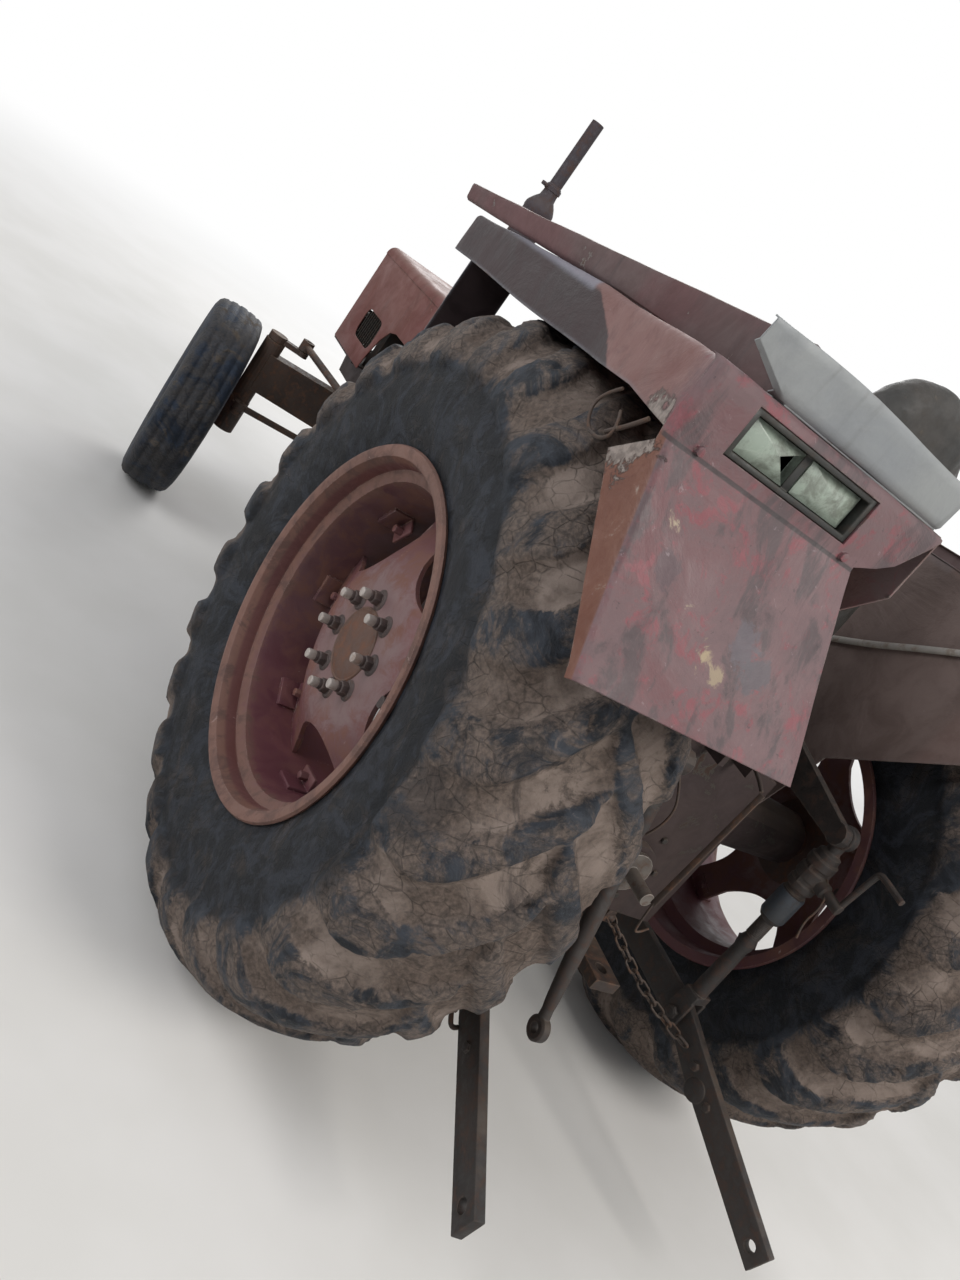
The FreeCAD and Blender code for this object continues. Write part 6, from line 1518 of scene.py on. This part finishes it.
def castingDetails():
    bm = bmesh.new()
    for side in (1, -1):
        for x, y in ((0.215, -0.44), (0.17, 0.568)):
            boltRow(bm, [(side * x, y, z) for z in (0.56, 0.7, 0.86)], (side, 0, 0))
        boltRow(bm, [(side * 0.16, y, 0.614) for y in (-1.1, -0.95, -0.8, -0.65, -0.51)], (side, 0, 0), 0.009)
    ring = [(0.105 * math.cos(turn), 0.105 * math.sin(turn)) for turn in around(6)]
    boltRow(bm, [(x, 1.1495, 0.64 + z) for x, z in ring], (0, 1, 0), 0.009)
    finishPiece("castingBolts", bm, "darkIron")
    bm = bmesh.new()
    for x in (0.19, -0.18):
        for y in spread(-1.1, -0.52, 4):
            addWire(bm, [(x * 0.8, y, 1.152), (x * 0.95, y + 0.02, 1.19), (x * 1.02, y + 0.04, 1.15),
                         (x * 1.1, y + 0.05, 1.06), (x * 1.1, y + 0.05, 0.985)], 0.0035)
    finishPiece("fuelPipes", bm, "darkIron", sharp=60)
    bm = bmesh.new()
    # thin flat check rod and loose wires that hang in front of the far wheel
    place = rodFrame((0.06, 1.352, 1.02), (0.105, 1.372, 0.7))
    addBox(bm, (0.0, -0.0065, -0.002), (0.325, 0.0065, 0.002), 0.001, place)
    addWire(bm, [(0.06, 1.345, 1.022), (0.06, 1.3, 1.045), (0.058, 1.24, 1.04), (0.058, 1.195, 1.02)], 0.0045)
    addWire(bm, [(0.105, 1.372, 0.702), (0.108, 1.38, 0.66), (0.085, 1.372, 0.61), (0.06, 1.372, 0.64)], 0.0028)
    addWire(bm, [(0.16, 1.2, 0.96), (0.17, 1.27, 0.93), (0.15, 1.3, 0.86), (0.165, 1.285, 0.8)], 0.003)
    finishPiece("checkRod", bm, "rustyIron", sharp=60)
    bm = bmesh.new()
    addWire(bm, [(-0.392, 0.7, 1.23), (-0.388, 0.86, 1.296), (-0.388, 1.132, 1.463), (-0.392, 1.29, 1.545)],
            0.0085, 12)
    for y, z in ((0.78, 1.262), (1.2, 1.5)):
        addBox(bm, (-0.402, y - 0.012, z - 0.014), (-0.378, y + 0.012, z + 0.014), 0.003)
    finishPiece("sidePipe", bm, "palePipe", sharp=60)


castingDetails()
print("details made")


def stageFinish():
    finish = Finish("paleFloor", 0.9)
    away = finish.node("VectorMath", {0: finish.place}, operation="LENGTH").outputs["Value"]
    material = finish.done(finish.over("e4e2de", "ebe9e6", finish.noise(2.0, 4, 0.5), 0.3, 0.7))
    # the far floor fades into the white backdrop, as the camera sees it
    white = finish.node("Emission", {"Color": (1, 1, 1, 1)}).outputs[0]
    seen = finish.node("LightPath").outputs["Is Camera Ray"]
    fade = finish.times(finish.step(away, 3.2, 9.0), seen)
    mixer = finish.node("MixShader", {0: fade, 1: finish.shader.outputs[0], 2: white})
    feed(finish.tree, finish.tree.nodes["Material Output"].inputs["Surface"], mixer.outputs[0])
    return material


def makeStage():
    bm = bmesh.new()
    bmesh.ops.create_grid(bm, x_segments=2, y_segments=2, size=40.0)
    bmesh.ops.translate(bm, verts=bm.verts, vec=(0, 0, -0.001))
    floor = placeObject("floor", meshFrom("floor", bm))
    floor.data.materials.append(stageFinish())


def makeWorld():
    world = bpy.data.worlds.new("studio")
    bpy.context.scene.world = world
    world.use_nodes = True
    tree = world.node_tree
    light = tree.nodes["Background"]
    light.inputs["Color"].default_value = (0.95, 0.97, 1.0, 1.0)
    light.inputs["Strength"].default_value = 0.38
    white = makeNode(tree, "Background", {"Color": (1, 1, 1, 1)})
    path = makeNode(tree, "LightPath").outputs
    seen = makeNode(tree, "Math", {0: path["Is Camera Ray"], 1: path["Is Glossy Ray"]}, operation="ADD")
    both = makeNode(tree, "Math", {0: seen.outputs[0], 1: path["Is Transmission Ray"]}, operation="ADD",
                    use_clamp=True)
    mixer = makeNode(tree, "MixShader", {"Fac": both.outputs[0], 1: light.outputs[0], 2: white.outputs[0]})
    feed(tree, tree.nodes["World Output"].inputs["Surface"], mixer.outputs[0])


lamps = {  # soft area lights
    "key": {"at": (-1.5, 6.5, 5.0), "size": 3.0, "power": 300, "shade": (1.0, 0.97, 0.93)},
    "fill": {"at": (6.5, 1.0, 4.5), "size": 4.0, "power": 230, "shade": (0.97, 0.98, 1.0)},
    "front": {"at": (-3.0, -6.5, 4.5), "size": 4.0, "power": 260, "shade": (1.0, 1.0, 1.0)},
}


def makeLamps():
    target = Vector((0, 0, 0.8))
    for name, look in lamps.items():
        data = bpy.data.lights.new(name, "AREA")
        data.size = look["size"]
        data.energy = look["power"]
        data.color = look["shade"]
        lamp = placeObject(name, data)
        at = Vector(look["at"])
        lamp.matrix_world = Matrix.Translation(at) @ (at - target).to_track_quat("Z", "Y").to_matrix().to_4x4()


camera = {  # from the photograph: left rear, rolled
    "at": (1.7855, 2.6694, 1.5486),
    "yaw": 0.615378,
    "pitch": 0.298474,
    "roll": 0.66126,
    "focalPixels": 1048.926,
    "imageHeight": 1280,
    "sensor": 36.0,
}


def makeCamera():
    look = camera
    flat = Vector((-math.sin(look["yaw"]), -math.cos(look["yaw"]), 0))
    right = Vector((-math.cos(look["yaw"]), math.sin(look["yaw"]), 0))
    up = Vector((0, 0, 1))
    ahead = flat * math.cos(look["pitch"]) - up * math.sin(look["pitch"])
    above = flat * math.sin(look["pitch"]) + up * math.cos(look["pitch"])
    across = right * math.cos(look["roll"]) + above * math.sin(look["roll"])
    upward = above * math.cos(look["roll"]) - right * math.sin(look["roll"])
    data = bpy.data.cameras.new("camera")
    data.sensor_width = look["sensor"]
    data.lens = look["focalPixels"] * look["sensor"] / look["imageHeight"]
    data.clip_start = 0.05
    data.clip_end = 200
    holder = placeObject("camera", data)
    turn = Matrix((across, upward, -ahead)).transposed().to_4x4()
    holder.matrix_world = Matrix.Translation(look["at"]) @ turn
    bpy.context.scene.camera = holder


makeStage()
makeWorld()
makeLamps()
makeCamera()
bpy.context.scene.view_settings.view_transform = "Standard"
print("stage, light and camera ready")
